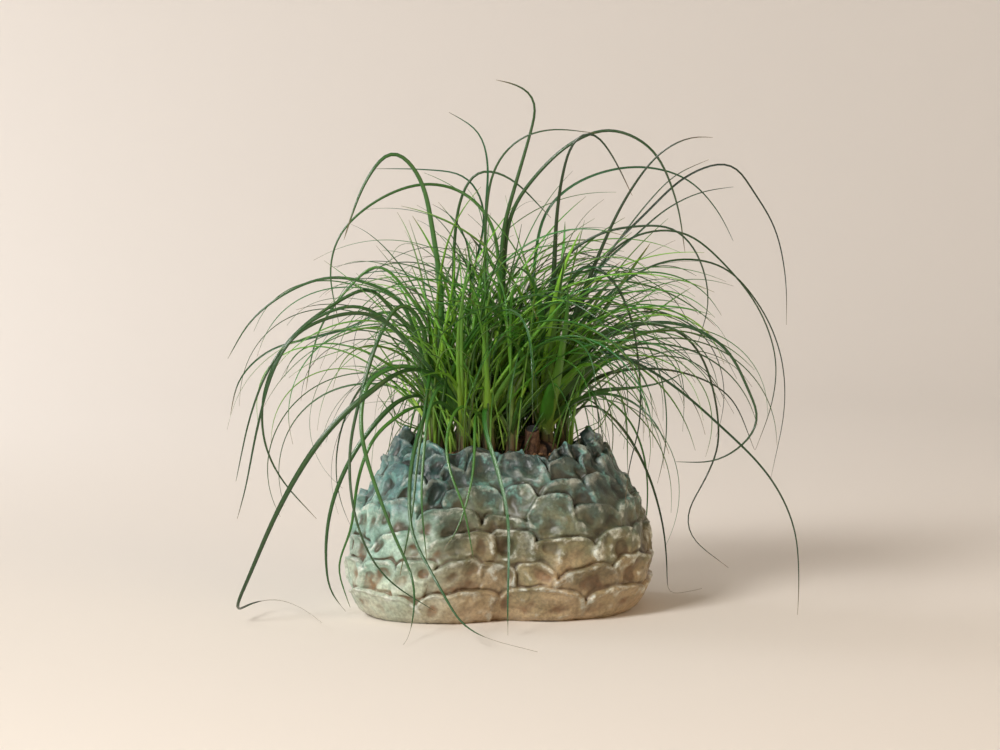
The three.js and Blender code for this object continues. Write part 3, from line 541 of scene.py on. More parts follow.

# %% [markdown]
# ## Glazed stoneware
# Stoneware is a dense clay fired near 1250 °C. Its glaze is a thin glass, so its IOR is about 1.5, and this
# one is satin: soft broad highlights. Glaze runs off edges and pools in hollows, which is what the eye
# reads as ceramic: lips and ridges are pale, partly where it broke thin and partly as painted highlight,
# thumb prints are brown, and crevices are darkened as painted shade. The tones go from biscuit at the foot
# through olive to sea-green at the mouth, and the left flank is milky mint, partly the glaze's own coat and
# partly painted light from the left. Masks from the pads place all of this, and noise from 38 mm down to
# 1.6 mm breaks it up.

# %% Glazed stoneware
def glazed_stoneware():
    material, tree = new_material("glazed stoneware")
    place = add_node(tree, "ShaderNodeTexCoord").outputs["Object"]
    axes = add_node(tree, "ShaderNodeSeparateXYZ", {0: place})
    mask = {
        name: add_node(tree, "ShaderNodeAttribute", attribute_name=name).outputs["Fac"]
        for name in PLANTER_MASKS
    }
    noise = {
        name: add_node(tree, "ShaderNodeTexNoise", {
            "Vector": place, "Scale": 1000 / millimetres, "Detail": detail, "Roughness": 0.6,
        }).outputs["Fac"]
        for name, millimetres, detail in (
            ("clouds", 38, 4.0), ("patches", 14, 3.0), ("breaks", 11, 4.0), ("mottle", 3.5, 5.0),
            ("grain", 1.6, 4.0),
        )
    }
    # each mask or noise between two values, smoothly turned into a share between two others
    share = {
        name: add_node(tree, "ShaderNodeMapRange", {
            0: value, 1: low, 2: high, 3: to_low, 4: to_high,
        }, interpolation_type="SMOOTHSTEP").outputs[0]
        for name, value, low, high, to_low, to_high in (
            ("drift up", noise["clouds"], 0.25, 0.75, -0.17, 0.17),
            ("drift sideways", noise["clouds"], 0.2, 0.8, -0.03, 0.03),
            ("sea patches", noise["patches"], 0.5, 0.64, 0.0, 1.0),
            ("hollows", mask["proud"], -0.2, -1.9, 0.0, 1.0),
            ("prints", mask["thumb"], 0.15, 1.1, 0.0, 0.65),
            ("pools", noise["patches"], 0.3, 0.6, 0.4, 1.0),
            # ridges take pale glaze, partly where it breaks thin and partly as painted highlight
            ("ridges_break_and_highlight", mask["proud"], 0.3, 1.6, 0.0, 1.0),
            ("edge breaks", noise["breaks"], 0.42, 0.66, 0.0, 0.8),
            ("pad tone", mask["tone"], 0.0, 1.0, 0.7, 1.0),
            ("mottled tone", noise["mottle"], 0.3, 0.7, 0.76, 1.2),
            ("roughness", noise["patches"], 0.3, 0.7, 0.34, 0.58),
        )
    }
    level = add_node(tree, "ShaderNodeMath", {
        0: axes.outputs["Z"], 1: 5.6, 2: share["drift up"],
    }, operation="MULTIPLY_ADD").outputs[0]
    sideways = add_node(tree, "ShaderNodeMath", {
        0: axes.outputs["X"], 1: share["drift sideways"],
    }, operation="ADD").outputs[0]
    # the left flank's milky mint coat, partly the glaze's own and partly painted light from the left
    milky_and_lit_left = add_node(tree, "ShaderNodeMapRange", {
        0: sideways, 1: -0.02, 2: -0.11, 3: 0.0, 4: 0.92,
    }, interpolation_type="SMOOTHSTEP").outputs[0]
    high_up = add_node(tree, "ShaderNodeMapRange", {0: level, 1: 0.5, 2: 0.8, 3: 0.0, 4: 0.75})
    low_down = add_node(tree, "ShaderNodeMapRange", {0: level, 1: 0.9, 2: 0.45, 3: 0.35, 4: 1.0})
    body, milky, brown = (
        add_node(tree, "ShaderNodeValToRGB", {0: level}, stops=stops).outputs[0]
        for stops in (
            [(0.0, "#B9A281"), (0.2, "#9F8D6B"), (0.42, "#757253"),
             (0.6, "#5B6652"), (0.78, "#3D5650"), (0.95, "#293E3B")],
            [(0.0, "#C4C6B0"), (0.3, "#ABC4B2"), (0.55, "#88B2A4"),
             (0.75, "#5A8C87"), (0.9, "#396467"), (1.0, "#2B5053")],
            [(0.1, "#85684A"), (0.5, "#474530"), (0.9, "#1C2A28")],
        )
    )
    factors = {
        name: add_node(tree, "ShaderNodeMath", {0: a, 1: b}, operation=operation).outputs[0]
        for name, operation, a, b in (
            ("sea", "MULTIPLY", share["sea patches"], high_up.outputs[0]),
            ("hollow", "MAXIMUM", share["prints"], share["hollows"]),
            ("edge", "MAXIMUM", mask["lip"], share["ridges_break_and_highlight"]),
            # painted shade in the crevices
            ("crevice_and_shade", "MULTIPLY", mask["crevice_and_shade"], 0.45),
            ("tone", "MULTIPLY", share["pad tone"], share["mottled tone"]),
        )
    }
    pooled = add_node(tree, "ShaderNodeMath", {0: factors["hollow"], 1: share["pools"]},
                      operation="MULTIPLY", use_clamp=True).outputs[0]
    pale = add_node(tree, "ShaderNodeMath", {0: factors["edge"], 1: share["edge breaks"]},
                    operation="MULTIPLY", use_clamp=True).outputs[0]
    pale = add_node(tree, "ShaderNodeMath", {0: pale, 1: low_down.outputs[0]},
                    operation="MULTIPLY").outputs[0]
    shade = add_node(tree, "ShaderNodeCombineColor", dict.fromkeys((0, 1, 2), factors["tone"]))
    colour = body
    for factor, over, blend in (
        # the milky left flank, partly painted light from the left
        (milky_and_lit_left, milky, "MIX"),
        (factors["sea"], linear("#6FA39A"), "MIX"),
        (pooled, brown, "MIX"),
        # pale glaze on lips and ridges, partly broken thin and partly painted highlight
        (pale, linear("#DDE2D6"), "MIX"),
        # the crevices darkened, as painted shade
        (factors["crevice_and_shade"], linear("#38352A"), "MIX"),
        (1.0, shade.outputs[0], "MULTIPLY"),
    ):
        colour = add_node(tree, "ShaderNodeMix", {
            MIX_FACTOR: factor, MIX_A: colour, MIX_B: over,
        }, data_type="RGBA", blend_type=blend).outputs[MIX_COLOUR]

    finish_material(tree, {
        "Base Color": colour, "Roughness": share["roughness"], "IOR": 1.5,
        "Coat Weight": 0.25, "Coat Roughness": 0.3,
    }, [(0.5, 0.0005, noise["grain"]), (0.7, 0.0014, noise["mottle"])])
    return material


make_piece(
    "stoneware_planter", planter_points, planter_faces, glazed_stoneware(), "planter",
    dict(zip(PLANTER_MASKS, planter_masks)), crease=75,
)

# %% [markdown]
# ## Potting soil
# Damp potting mix is peat, bark crumbs and pale coir threads. A flat disc would do for the little
# that shows, but the edge at the front of the mouth is seen close to, so the top is a
# fine grid with lumps, with loose crumbs and threads scattered on it.

# %% Soil: the mounded body
SOIL_EDGE, SOIL_TOP = 150, 158
CLEARANCE = 0.35


def soil_height(share):
    """The mounded top, from the middle (share 0) to the planter's wall (share 1)."""
    return SOIL_EDGE + (SOIL_TOP - SOIL_EDGE) * (1 - share**2.5)


def soil_body():
    columns = 192
    angle = turns(columns)
    rings = []
    for z in (FLOOR_THICKNESS, 45, 110, 144, SOIL_EDGE - 1):
        ring = wall_point(angle, z + angle * 0, -WALL - 1.2 + angle * 0)
        if z == FLOOR_THICKNESS:
            ring = ring * [0.99, 0.99, 1] + [0, 0, CLEARANCE]
        rings.append(ring)
    edge = wall_point(angle, SOIL_EDGE + angle * 0, -WALL - 1.2 + angle * 0)
    steps = 24
    for step in range(steps):
        share = 1 - step / steps * 0.98
        ring = edge * [share, share, 1]
        ring[:, 2] = soil_height(share)
        inside = min(1, 6 * (1 - share) + 0.2)
        seen = ring * [1, 1, 0] + 900
        ring[:, 2] += inside * (1.6 * lumps(seen, 9, 21) + 0.9 * lumps(seen, 4, 22))
        rings.append(ring)
    return np.concatenate(rings), closed_tube(len(rings), columns)


# %% Soil: crumbs and threads
def spot_on_soil(rng, nearest, farthest, inset):
    """A random place on the soil, no nearer to the wall than an inset."""
    angle, share = rng.uniform(0, TURN), math.sqrt(rng.uniform(nearest, farthest))
    edge = wall_point(np.array(angle), np.array(float(SOIL_EDGE)), np.array(-WALL - inset))
    return edge[0] * share, edge[1] * share, soil_height(share)


def crumbs_and_threads():
    """Loose crumbs are lumpy little rocks, and threads are thin bent rods, all in one mesh."""
    rng = np.random.default_rng(31)
    points, faces = [], []
    for _ in range(420):
        x, y, z = spot_on_soil(rng, 0.02, 0.98, 3.5)
        size = rng.uniform(0.9, 2.6)
        rings = []
        for height, radius in ((-0.9, 0.5), (-0.3, 1), (0.4, 0.9), (0.9, 0.4)):
            ring = np.array([[math.cos(a), math.sin(a), height] for a in np.arange(7) * TURN / 7])
            ring[:, :2] *= radius
            rings.append(ring * size * rng.uniform(0.75, 1.25, (7, 3)))
        faces += closed_tube(4, 7, len(points))
        points.extend(np.concatenate(rings) * [1, 1, 0.7] + [x, y, z + 0.5 * size + 0.6])
    for _ in range(160):
        x, y, z = spot_on_soil(rng, 0.05, 0.97, 5.0)
        heading, curl = rng.uniform(0, TURN), rng.uniform(-1.2, 1.2)
        length, radius = rng.uniform(7, 20), rng.uniform(0.2, 0.4)
        faces += closed_tube(6, 4, len(points), turned=True)
        centre = np.array([x * 0.9, y * 0.9, z + 1.6])
        for k in range(6):
            heading += curl * 0.3
            centre = centre + [length / 6 * math.cos(heading), length / 6 * math.sin(heading), 0]
            lift = centre + [0, 0, 1.3 * math.sin(k * 0.6 + curl)]
            side = np.array([-math.sin(heading), math.cos(heading), 0])
            for corner in range(4):
                turn = corner * TURN / 4
                points.append(lift + radius * (side * math.cos(turn) + np.array([0, 0, math.sin(turn)])))
    return np.array(points), faces


# %% [markdown]
# Damp soil is matte and dark: peat drinks light, and only the bark crumbs and threads catch
# some. The colour runs between three browns at the size of a crumb.

# %% Potting soil
def potting_soil(name, stops):
    material, tree = new_material(name)
    place = add_node(tree, "ShaderNodeTexCoord").outputs["Object"]
    crumbs = add_node(tree, "ShaderNodeTexNoise", {
        "Vector": place, "Scale": 1000 / 4, "Detail": 6.0, "Roughness": 0.65,
    }).outputs["Fac"]
    colour = add_node(tree, "ShaderNodeValToRGB", {0: crumbs}, stops=stops).outputs[0]
    finish_material(tree, {"Base Color": colour, "Roughness": 0.92, "IOR": 1.4},
                    [(0.9, 0.002, crumbs)])
    return material


soil_points, soil_faces = soil_body()
peat = potting_soil("damp potting soil", [(0.3, "#1E1610"), (0.5, "#3B2A1E"), (0.7, "#5E4632")])
coir = potting_soil("bark crumbs and coir", [(0.3, "#4A3424"), (0.5, "#7A5A3C"), (0.7, "#A58560")])
make_piece("potting_soil_mound", soil_points, soil_faces, peat, "potting_soil")
scatter_points, scatter_faces = crumbs_and_threads()
make_piece("crumbs_and_coir", scatter_points, scatter_faces, coir, "potting_soil", crease=40)

# %% [markdown]
# ## The caudex
# The swollen foot of an old ponytail palm is corky bark that splits into plates as it swells.
# Ridged noise, stretched upwards, cuts the fissures into a squat lofted body, deep enough that
# their shadows are real. A sawn-off stem leans forward out of it, with a dry grey face.

# %% Caudex: body and stump
CAUDEX = {"x": 30, "y": -6, "half_width": 31, "half_depth": 23, "bottom": 122, "top": 174}
STUMP = {"x": 32, "y": -29, "radius": 7, "top": 184, "lean": 0.25}


def caudex_skin():
    columns = 90
    angle = turns(columns)
    profile = [(0.72, 0), (0.95, 0.35), (1, 0.6), (0.93, 0.8), (0.7, 0.93), (0.34, 0.99), (0.05, 1)]
    heights = np.concatenate([np.linspace(0, 0.9, 26), np.linspace(0.91, 1, 12)])
    rings, cracks = [], []
    for height in heights:
        share = np.interp(height, [h for _, h in profile], [s for s, _ in profile])
        place = ring_at(angle, 1, 1, height * 52) * [CAUDEX["half_width"], CAUDEX["half_depth"], 0.55] + 300
        ridge = 1 - np.abs(lumps(place, 7, 51)) * 2.2
        crack = smooth_step(0.35, 1.0, ridge)
        grow = 1 + (0.035 * lumps(place, 12, 52) - 0.055 * crack) * min(1, 3 * (1.02 - height))
        rings.append(ring_at(
            angle, CAUDEX["half_width"] * share * grow, CAUDEX["half_depth"] * share * grow,
            CAUDEX["bottom"] + height * (CAUDEX["top"] - CAUDEX["bottom"]), CAUDEX["x"], CAUDEX["y"],
        ))
        cracks.append(crack)
    return np.concatenate(rings), closed_tube(len(rings), columns), np.concatenate(cracks)


def stump_skin():
    columns = 40
    angle = turns(columns)
    rings, cracks = [], []
    profile = [(148, 1.3, 0), (158, 1.15, 0), (168, 1.05, 0), (176, 1.0, 0), (181, 1.02, 0),
               (183.4, 0.98, 0), (184, 0.86, 0.35), (183.2, 0.72, 1), (182.8, 0.3, 1)]
    for z, scale, cut in profile:
        place = ring_at(angle, 1, 1, z * 0.1) * 7 + 200
        rough = 1 + (0.10 * lumps(place, 3, 61) if z < 184 else 0)
        radius = STUMP["radius"] * scale * rough
        rings.append(ring_at(
            angle, radius, 0.8 * radius, z + 0.5 * radius * np.sin(angle),
            STUMP["x"], STUMP["y"] + (STUMP["top"] - z) * STUMP["lean"],
        ))
        cracks.append(angle * 0 + 2 * cut)
    return np.concatenate(rings), closed_tube(len(rings), columns), np.concatenate(cracks)


# %% [markdown]
# Bark is matte cork: warm brown plates over near-black cracks, paler where the plates have worn.

# %% Fissured bark
def fissured_bark():
    material, tree = new_material("fissured bark")
    place = add_node(tree, "ShaderNodeTexCoord").outputs["Object"]
    crack = add_node(tree, "ShaderNodeAttribute", attribute_name="crack").outputs["Fac"]
    flakes = add_node(tree, "ShaderNodeTexNoise", {
        "Vector": place, "Scale": 1000 / 3, "Detail": 6.0, "Roughness": 0.7,
    }).outputs["Fac"]
    plate = add_node(tree, "ShaderNodeValToRGB", {0: flakes}, stops=[
        (0.3, "#35261D"), (0.5, "#5C4434"), (0.72, "#86694F"),
    ]).outputs[0]
    depth = add_node(tree, "ShaderNodeValToRGB", {0: crack}, stops=[
        (0.0, "#FFFFFF"), (0.6, "#4A3A30"), (1.0, "#2A211B"),
    ]).outputs[0]
    colour = add_node(
        tree, "ShaderNodeMix", {MIX_FACTOR: 1.0, MIX_A: plate, MIX_B: depth},
        data_type="RGBA", blend_type="MULTIPLY",
    ).outputs[MIX_COLOUR]
    cut = add_node(tree, "ShaderNodeMath", {0: crack, 1: 1.2}, operation="GREATER_THAN").outputs[0]
    colour = add_node(
        tree, "ShaderNodeMix", {MIX_FACTOR: cut, MIX_A: colour, MIX_B: linear("#3E4247")},
        data_type="RGBA",
    ).outputs[MIX_COLOUR]
    finish_material(tree, {"Base Color": colour, "Roughness": 0.85, "IOR": 1.45},
                    [(0.8, 0.001, flakes)])
    return material


bark = fissured_bark()
for piece_name, (skin, skin_faces, crack_mask) in {
    "woody_caudex": caudex_skin(), "cut_stump": stump_skin(),
}.items():
    make_piece(piece_name, skin, skin_faces, bark, "caudex", {"crack": crack_mask})

# %% [markdown]
# ## How the leaves grow
# Each leaf leaves its stem steeply, bends over under its own weight and runs out to a hair tip.
# Hair curves could draw them, but a strap leaf has a width, a keel and a twist, so each one
# is a blade swept along a centre line. The longest leaves, whose arcs make the plant's outline,
# are listed one by one. The others follow the golden angle round their stem, each with random
# numbers of its own, and a leaf that would run into a neighbour, the pot or the ground is
# drawn again. The centre lines are grown by the same rule and seeds as the solids' own.

# %% Shoots and long leaves
STEM_BOTTOM, STEM_TOP, LONG_LEAF_ROOT = 142, 234, 187
SHOOTS = {      # x, y, stem radius at the soil, number of unlisted leaves
    "left": (-65, -5, 10, 30),
    "front_left": (-36, -27, 8, 20),
    "front": (-12, -31, 8, 24),
    "front_right": (12, -34, 6.5, 14),
    "centre": (4, 13, 9, 30),
    "right": (45, -9, 10, 25),
    "far_right": (63, 11, 8, 24),
    "back_left": (-38, 32, 8, 26),
    "back_right": (32, 35, 8, 26),
}
# Shoot, width in mm, and where the leaf passes: across, up and depth behind the planter's middle.
LONG_LEAVES = [
    ("left", 7.5, [(-59, 308, -10), (-66, 370, -14), (-81, 434, -20), (-107, 459, -26), (-132, 432, -32),
     (-150, 389, -38), (-156, 370, -40)]),
    ("left", 5, [(-98, 307, -8), (-127, 325, -10), (-167, 333, -12), (-205, 322, -14), (-249, 290, -16),
     (-273, 251, -18)]),
    ("left", 5, [(-73, 262, -12), (-109, 300, -18), (-129, 322, -22), (-164, 307, -28), (-209, 272, -36),
     (-235, 225, -42), (-238, 172, -48), (-222, 132, -52), (-185, 89, -58)]),
    ("left", 5, [(-90, 262, -30), (-140, 304, -36), (-195, 285, -44), (-230, 244, -52), (-250, 196, -58),
     (-266, 127, -64)]),
    ("left", 6.5, [(-78, 214, -30), (-101, 209, -44), (-131, 179, -54), (-154, 143, -60), (-171, 98, -62),
     (-176, 47, -62), (-169, 9, -62), (-147, -5, -58)]),
    ("left", 5, [(-80, 290, -40), (-98, 308, -50), (-118, 280, -62), (-136, 227, -76), (-151, 160, -90),
     (-147, 95, -110), (-129, 47, -122), (-109, 23, -128), (-66, -5, -136)]),
    ("left", 5, [(-69, 240, -50), (-74, 208, -72), (-84, 139, -98), (-88, 98, -112), (-101, 31, -126)]),
    ("left", 5, [(-79, 204, -40), (-98, 196, -58), (-127, 171, -80), (-143, 129, -88), (-150, 78, -94),
     (-164, 38, -90), (-148, -1, -86)]),
    ("back_left", 4.5, [(-80, 262, 30), (-110, 300, 34), (-147, 283, 38), (-189, 272, 42),
     (-232, 259, 46), (-262, 230, 50), (-271, 194, 52)]),
    ("back_left", 4.5, [(-89, 312, 28), (-122, 346, 30), (-147, 327, 30), (-179, 285, 28),
     (-190, 249, 26), (-195, 219, 24)]),
    ("back_left", 4, [(-30, 320, 34), (-16, 400, 40), (-34, 433, 45), (-75, 440, 52), (-126, 441, 60)]),
    ("back_left", 5, [(-46, 308, 25), (-45, 375, 22), (-38, 415, 20), (-22, 439, 18), (8, 433, 14),
     (51, 392, 8)]),
    ("front_left", 5.5, [(-70, 240, -50), (-130, 296, -60), (-200, 279, -66), (-225, 245, -70),
     (-243, 185, -75), (-257, 117, -80), (-265, 89, -82)]),
    ("front_left", 8, [(-62, 232, -48), (-91, 240, -60), (-121, 224, -74), (-165, 187, -84),
     (-195, 148, -86), (-224, 97, -80), (-254, 29, -64), (-267, -3, -50), (-250, 3, -8), (-227, 7, 30),
     (-205, 0, -6), (-180, -17, -98)]),
    ("front_left", 6, [(-90, 244, -66), (-131, 230, -90), (-139, 204, -104), (-138, 166, -116),
     (-109, 77, -140), (-88, 27, -156), (-89, -18, -195), (-98, -44, -238)]),
    ("front_left", 5.5, [(-66, 208, -68), (-88, 150, -100), (-89, 75, -130), (-75, 45, -145),
     (-57, 12, -165), (-40, -16, -190), (-18, -31, -212), (38, -47, -245)]),
    ("front_left", 5, [(-58, 226, -60), (-70, 204, -84), (-78, 139, -112), (-79, 105, -122),
     (-74, 47, -134)]),
    ("front", 5, [(-15, 205, -60), (-16, 183, -74), (-6, 151, -92), (7, 98, -116), (9, 66, -126),
     (8, 10, -152), (8, -30, -178)]),
    ("front", 4.5, [(-24, 200, -58), (-25, 172, -80), (-28, 128, -102), (-45, 73, -122),
     (-56, 59, -126)]),
    ("front", 4.5, [(-40, 205, -60), (-54, 170, -84), (-49, 132, -102), (-38, 107, -112),
     (-26, 47, -126)]),
    ("front", 4.5, [(-15, 300, -27), (-14, 405, -20), (-12, 446, -20), (-21, 478, -20), (-51, 497, -22)]),
    ("front", 4.5, [(-14, 392, -34), (-5, 442, -40), (17, 469, -44), (49, 480, -50), (97, 476, -60)]),
    ("centre", 5, [(0, 300, 4), (-8, 385, 0), (-36, 417, -5), (-75, 426, -15), (-120, 411, -25),
     (-159, 377, -32), (-170, 340, -36), (-161, 285, -40)]),
    ("centre", 6.5, [(3, 375, 6), (16, 427, 5), (29, 472, 5), (36, 505, 5), (29, 518, 2), (8, 527, -2),
     (-4, 529, -4)]),
    ("centre", 5.5, [(4, 340, 12), (12, 398, 8), (41, 440, 0), (75, 469, -5), (110, 480, -10),
     (151, 461, -16), (176, 409, -22), (185, 357, -26)]),
    ("back_right", 4.5, [(35, 350, 34), (47, 400, 34), (80, 429, 38), (136, 443, 44), (186, 431, 50),
     (218, 398, 54), (233, 369, 56)]),
    ("right", 7.5, [(53, 308, -10), (57, 396, -12), (63, 437, -14), (73, 468, -16), (90, 479, -18),
     (110, 457, -20), (132, 414, -22)]),
    ("right", 7.5, [(66, 268, -14), (110, 381, -24), (132, 422, -30), (160, 457, -36), (192, 473, -42),
     (212, 472, -46)]),
    ("right", 5, [(62, 262, 0), (98, 340, 0), (136, 375, 2), (166, 401, 4), (201, 418, 6),
     (233, 423, 8)]),
    ("right", 5.5, [(50, 320, -28), (62, 350, -36), (101, 377, -46), (140, 384, -52), (173, 382, -58),
     (197, 357, -64), (209, 308, -70), (197, 263, -75)]),
    ("right", 5, [(60, 300, -22), (85, 346, -44), (110, 333, -56), (130, 296, -66), (140, 237, -76),
     (140, 183, -84), (130, 142, -90), (126, 102, -94)]),
    ("far_right", 5, [(80, 300, 18), (110, 359, 20), (145, 396, 22), (188, 435, 24), (230, 446, 26),
     (253, 418, 28), (275, 381, 30), (286, 330, 32), (287, 285, 33)]),
    ("far_right", 4.5, [(78, 310, 6), (110, 358, 4), (149, 409, 0), (175, 435, -4), (208, 450, -8)]),
    ("far_right", 4.5, [(90, 330, -2), (130, 372, -8), (182, 378, -14), (229, 341, -22), (262, 296, -30),
     (277, 248, -36), (273, 205, -40), (257, 159, -44)]),
    ("far_right", 4.5, [(95, 300, 40), (145, 341, 48), (184, 351, 54), (225, 342, 60), (260, 304, 66),
     (281, 257, 72), (286, 205, 78), (273, 131, 84)]),
    ("far_right", 7, [(85, 255, -14), (119, 280, -26), (175, 287, -40), (225, 263, -52), (253, 211, -62),
     (260, 194, -66), (252, 172, -69), (218, 148, -74), (177, 147, -80)]),
    ("far_right", 5, [(97, 218, -14), (140, 222, -26), (175, 231, -36), (190, 241, -40)]),
    ("far_right", 4.5, [(97, 232, 28), (140, 241, 38), (188, 236, 48), (231, 213, 56), (256, 159, 64)]),
    ("far_right", 5.5, [(92, 258, -24), (130, 250, -38), (171, 226, -50), (214, 190, -62),
     (272, 131, -80), (297, 79, -90), (302, 20, -96), (301, -9, -97)]),
    ("far_right", 5, [(96, 262, 26), (140, 286, 32), (180, 278, 34), (205, 248, 30), (220, 167, 22),
     (206, 128, 18), (189, 95, 14), (192, 72, 12), (231, 39, 6)]),
    ("far_right", 5.5, [(90, 206, 20), (118, 187, 24), (146, 142, 32), (164, 84, 40), (169, 34, 46),
     (170, 12, 52), (204, 18, 86)]),
    ("far_right", 4, [(84, 212, -20), (94, 208, -34), (112, 188, -46), (140, 153, -60)]),
]

# %% [markdown]
# A leaf that comes down over the planter keeps a finger's width off its wall, and one that
# reaches the ground lies on it. These small rules move a point or tell that it isn't allowed.

# %% Keeping off the pot and the ground
DRAPE_GAP, LIP_GAP, GROUND_GAP = 16, 10.5, 2.5
WALL_TOP = 170                      # the smooth wall goes up to here, and the pads' rims above it
HORN_ZONE = (60, 26)                # a point counts as at a horn beyond this x and within this y
RIM_AT_HORN, RIM_ELSEWHERE = 188, 178
STEM_BARE = 155                     # a stem has its full width up to here, and then thins
CAUDEX_SHOULDER = 146               # the caudex is an oval dome above this height
CROWN = (4, 150, 283, 246, 312)     # x, z, half width, half depth and height of the foliage


def clamp(value, low, high):
    return max(low, min(high, value))


def stem_radius(shoot, z):
    return shoot[2] * (1 - 0.7 * clamp((z - STEM_BARE) / (STEM_TOP - STEM_BARE), 0, 1))


def half_width_at(z):
    """The same as wall_half_width, for one plain number, which is much faster than an array."""
    if z < BELLY_HEIGHT:
        return BELLY_HALF_WIDTH - FOOT_TUCK * ((BELLY_HEIGHT - z) / BELLY_HEIGHT) ** 2.6
    return BELLY_HALF_WIDTH - MOUTH_TUCK * ((z - BELLY_HEIGHT) / (MOUTH_HEIGHT - BELLY_HEIGHT)) ** 2


def share_of_wall(point, margin):
    """Where a point lies between the planter's axis (0) and its wall, moved out by a margin (1)."""
    z = clamp(point[2], 0, WALL_TOP)
    half_width = half_width_at(z)
    half_depth = half_width * (DEPTH_AT_FOOT - DEPTH_LOSS * (z / MOUTH_HEIGHT) ** 2)
    x = abs(point[0] - mouth_shift(z)) / (half_width + margin)
    y = abs(point[1] - float(skew_at(point[0], z))) / (half_depth + margin)
    return (x**PLAN_POWER + y**PLAN_POWER) ** (1 / PLAN_POWER)


def is_below_rim(point):
    at_horn = abs(point[0]) > HORN_ZONE[0] and abs(point[1]) < HORN_ZONE[1]
    return point[2] < (RIM_AT_HORN if at_horn else RIM_ELSEWHERE)


def keep_clear(point):
    share = share_of_wall(point, DRAPE_GAP)
    in_mouth = share < 0.7 and point[2] > SOIL_TOP + 2
    if is_below_rim(point) and share < 1 and not in_mouth:
        shift = mouth_shift(clamp(point[2], 0, WALL_TOP))
        skew = float(skew_at(point[0], point[2]))
        point[0] = (point[0] - shift) / share + shift
        point[1] = (point[1] - skew) / share + skew
    point[2] = max(point[2], GROUND_GAP)


def touches_pot(point, along):
    if point[2] < GROUND_GAP - 0.5:
        return True
    near_wall = share_of_wall(point, LIP_GAP) < 1 and share_of_wall(point, -WALL - 5) > 1
    if near_wall and is_below_rim(point):
        return True
    to_caudex = math.hypot(
        (point[0] - CAUDEX["x"]) / (CAUDEX["half_width"] + 5),
        (point[1] - CAUDEX["y"]) / (CAUDEX["half_depth"] + 5),
        (point[2] - CAUDEX_SHOULDER) / (CAUDEX["top"] - CAUDEX_SHOULDER + 4),
    )
    return along > 30 and to_caudex < 1


def is_in_crown(path, lowest):
    """Whether an unlisted leaf stays in the crown. Only behind the planter may it hang low."""
    x, z, half_width, half_depth, height = CROWN
    return all(
        math.hypot((p[0] - x) / half_width, p[1] / half_depth, (p[2] - z) / height) < 1
        and (p[2] > min(lowest, path[0][2] - 2) or p[1] > 70) for p in path
    )


# %% Centre lines
def smooth_curve(points, share):
    """A point on the centripetal Catmull-Rom curve through points, at a share of its spans."""
    position = (len(points) - 1) * share
    span = int(position)
    weight = position - span
    if span == len(points) - 1:
        span, weight = len(points) - 2, 1.0
    first = [2 * a - b for a, b in zip(points[0], points[1])]
    last = [2 * a - b for a, b in zip(points[-1], points[-2])]
    p0 = points[span - 1] if span > 0 else first
    p1, p2 = points[span], points[span + 1]
    p3 = points[span + 2] if span + 2 < len(points) else last
    d0, d1, d2 = (math.dist(a, b) ** 0.5 for a, b in ((p0, p1), (p1, p2), (p2, p3)))
    found = []
    for x0, x1, x2, x3 in zip(p0, p1, p2, p3):
        t1 = ((x1 - x0) / d0 - (x2 - x0) / (d0 + d1) + (x2 - x1) / d1) * d1
        t2 = ((x2 - x1) / d1 - (x3 - x1) / (d1 + d2) + (x3 - x2) / d2) * d1
        c2, c3 = -3 * x1 + 3 * x2 - 2 * t1 - t2, 2 * x1 - 2 * x2 + t1 + t2
        found.append(x1 + t1 * weight + c2 * weight**2 + c3 * weight**3)
    return found


def long_leaf_path(shoot, waypoints, depth_shift):
    seen = []
    for i, (x, z, y) in enumerate(waypoints):
        depth = y + depth_shift * min(1, (i + 0.6) / 2.5)
        scale = (EYE_DISTANCE + depth) / EYE_DISTANCE
        seen.append([x * scale, depth, EYE_HEIGHT - (EYE_HEIGHT - z) * scale])
    root = [shoot[0], shoot[1], LONG_LEAF_ROOT]
    neck = [r + 0.3 * (s - r) for r, s in zip(root, seen[0])]
    neck[2] += 0.12 * max(0, seen[0][2] - root[2])
    steps = 10 * (len(seen) + 1)
    path = []
    for i in range(steps + 1):
        point = smooth_curve([root, neck, *seen], i / steps)
        if i > 18:
            keep_clear(point)
        path.append(point)
    return path


def grow_path(start, azimuth, steep, bend, late, sweep, length, steps=24):
    """A centre line that leaves its start steeply, and bends over and sideways as it goes."""
    point = list(start)
    path = [list(point)]
    for i in range(1, steps + 1):
        t = (i - 0.5) / steps
        elevation = steep - bend * t**late
        heading = azimuth + sweep * t * t
        point[0] += (length / steps) * math.cos(elevation) * math.cos(heading)
        point[1] += (length / steps) * math.cos(elevation) * math.sin(heading)
        point[2] += (length / steps) * math.sin(elevation)
        if i > 4:
            keep_clear(point)
        path.append(list(point))
        if point[2] < 4:
            break
    return path


def leaf_path(shoot, rank, turn, draw, trial):
    azimuth = turn + math.radians((30 + 14 * trial) * (draw() - 0.5))
    steep = math.radians(87 - 45 * rank**0.9 + 10 * (draw() - 0.5))
    bend = math.radians((52 + 88 * min(1, 1.5 * rank)) * (0.7 + 0.6 * draw()))
    full = min(1, rank / 0.45) * (1 - 0.6 * max(0, rank - 0.6))
    length = (195 + 275 * full) * (0.8 + 0.36 * draw()) * 0.982**trial
    late = 0.9 + 1.1 * draw()
    sweep = math.radians(120 * (draw() - 0.5))
    height = STEM_TOP - 6 - 50 * rank
    offset = 0.3 * stem_radius(shoot, height)
    start = (shoot[0] + offset * math.cos(azimuth), shoot[1] + offset * math.sin(azimuth), height)
    return grow_path(start, azimuth, steep, bend, late, sweep, length)


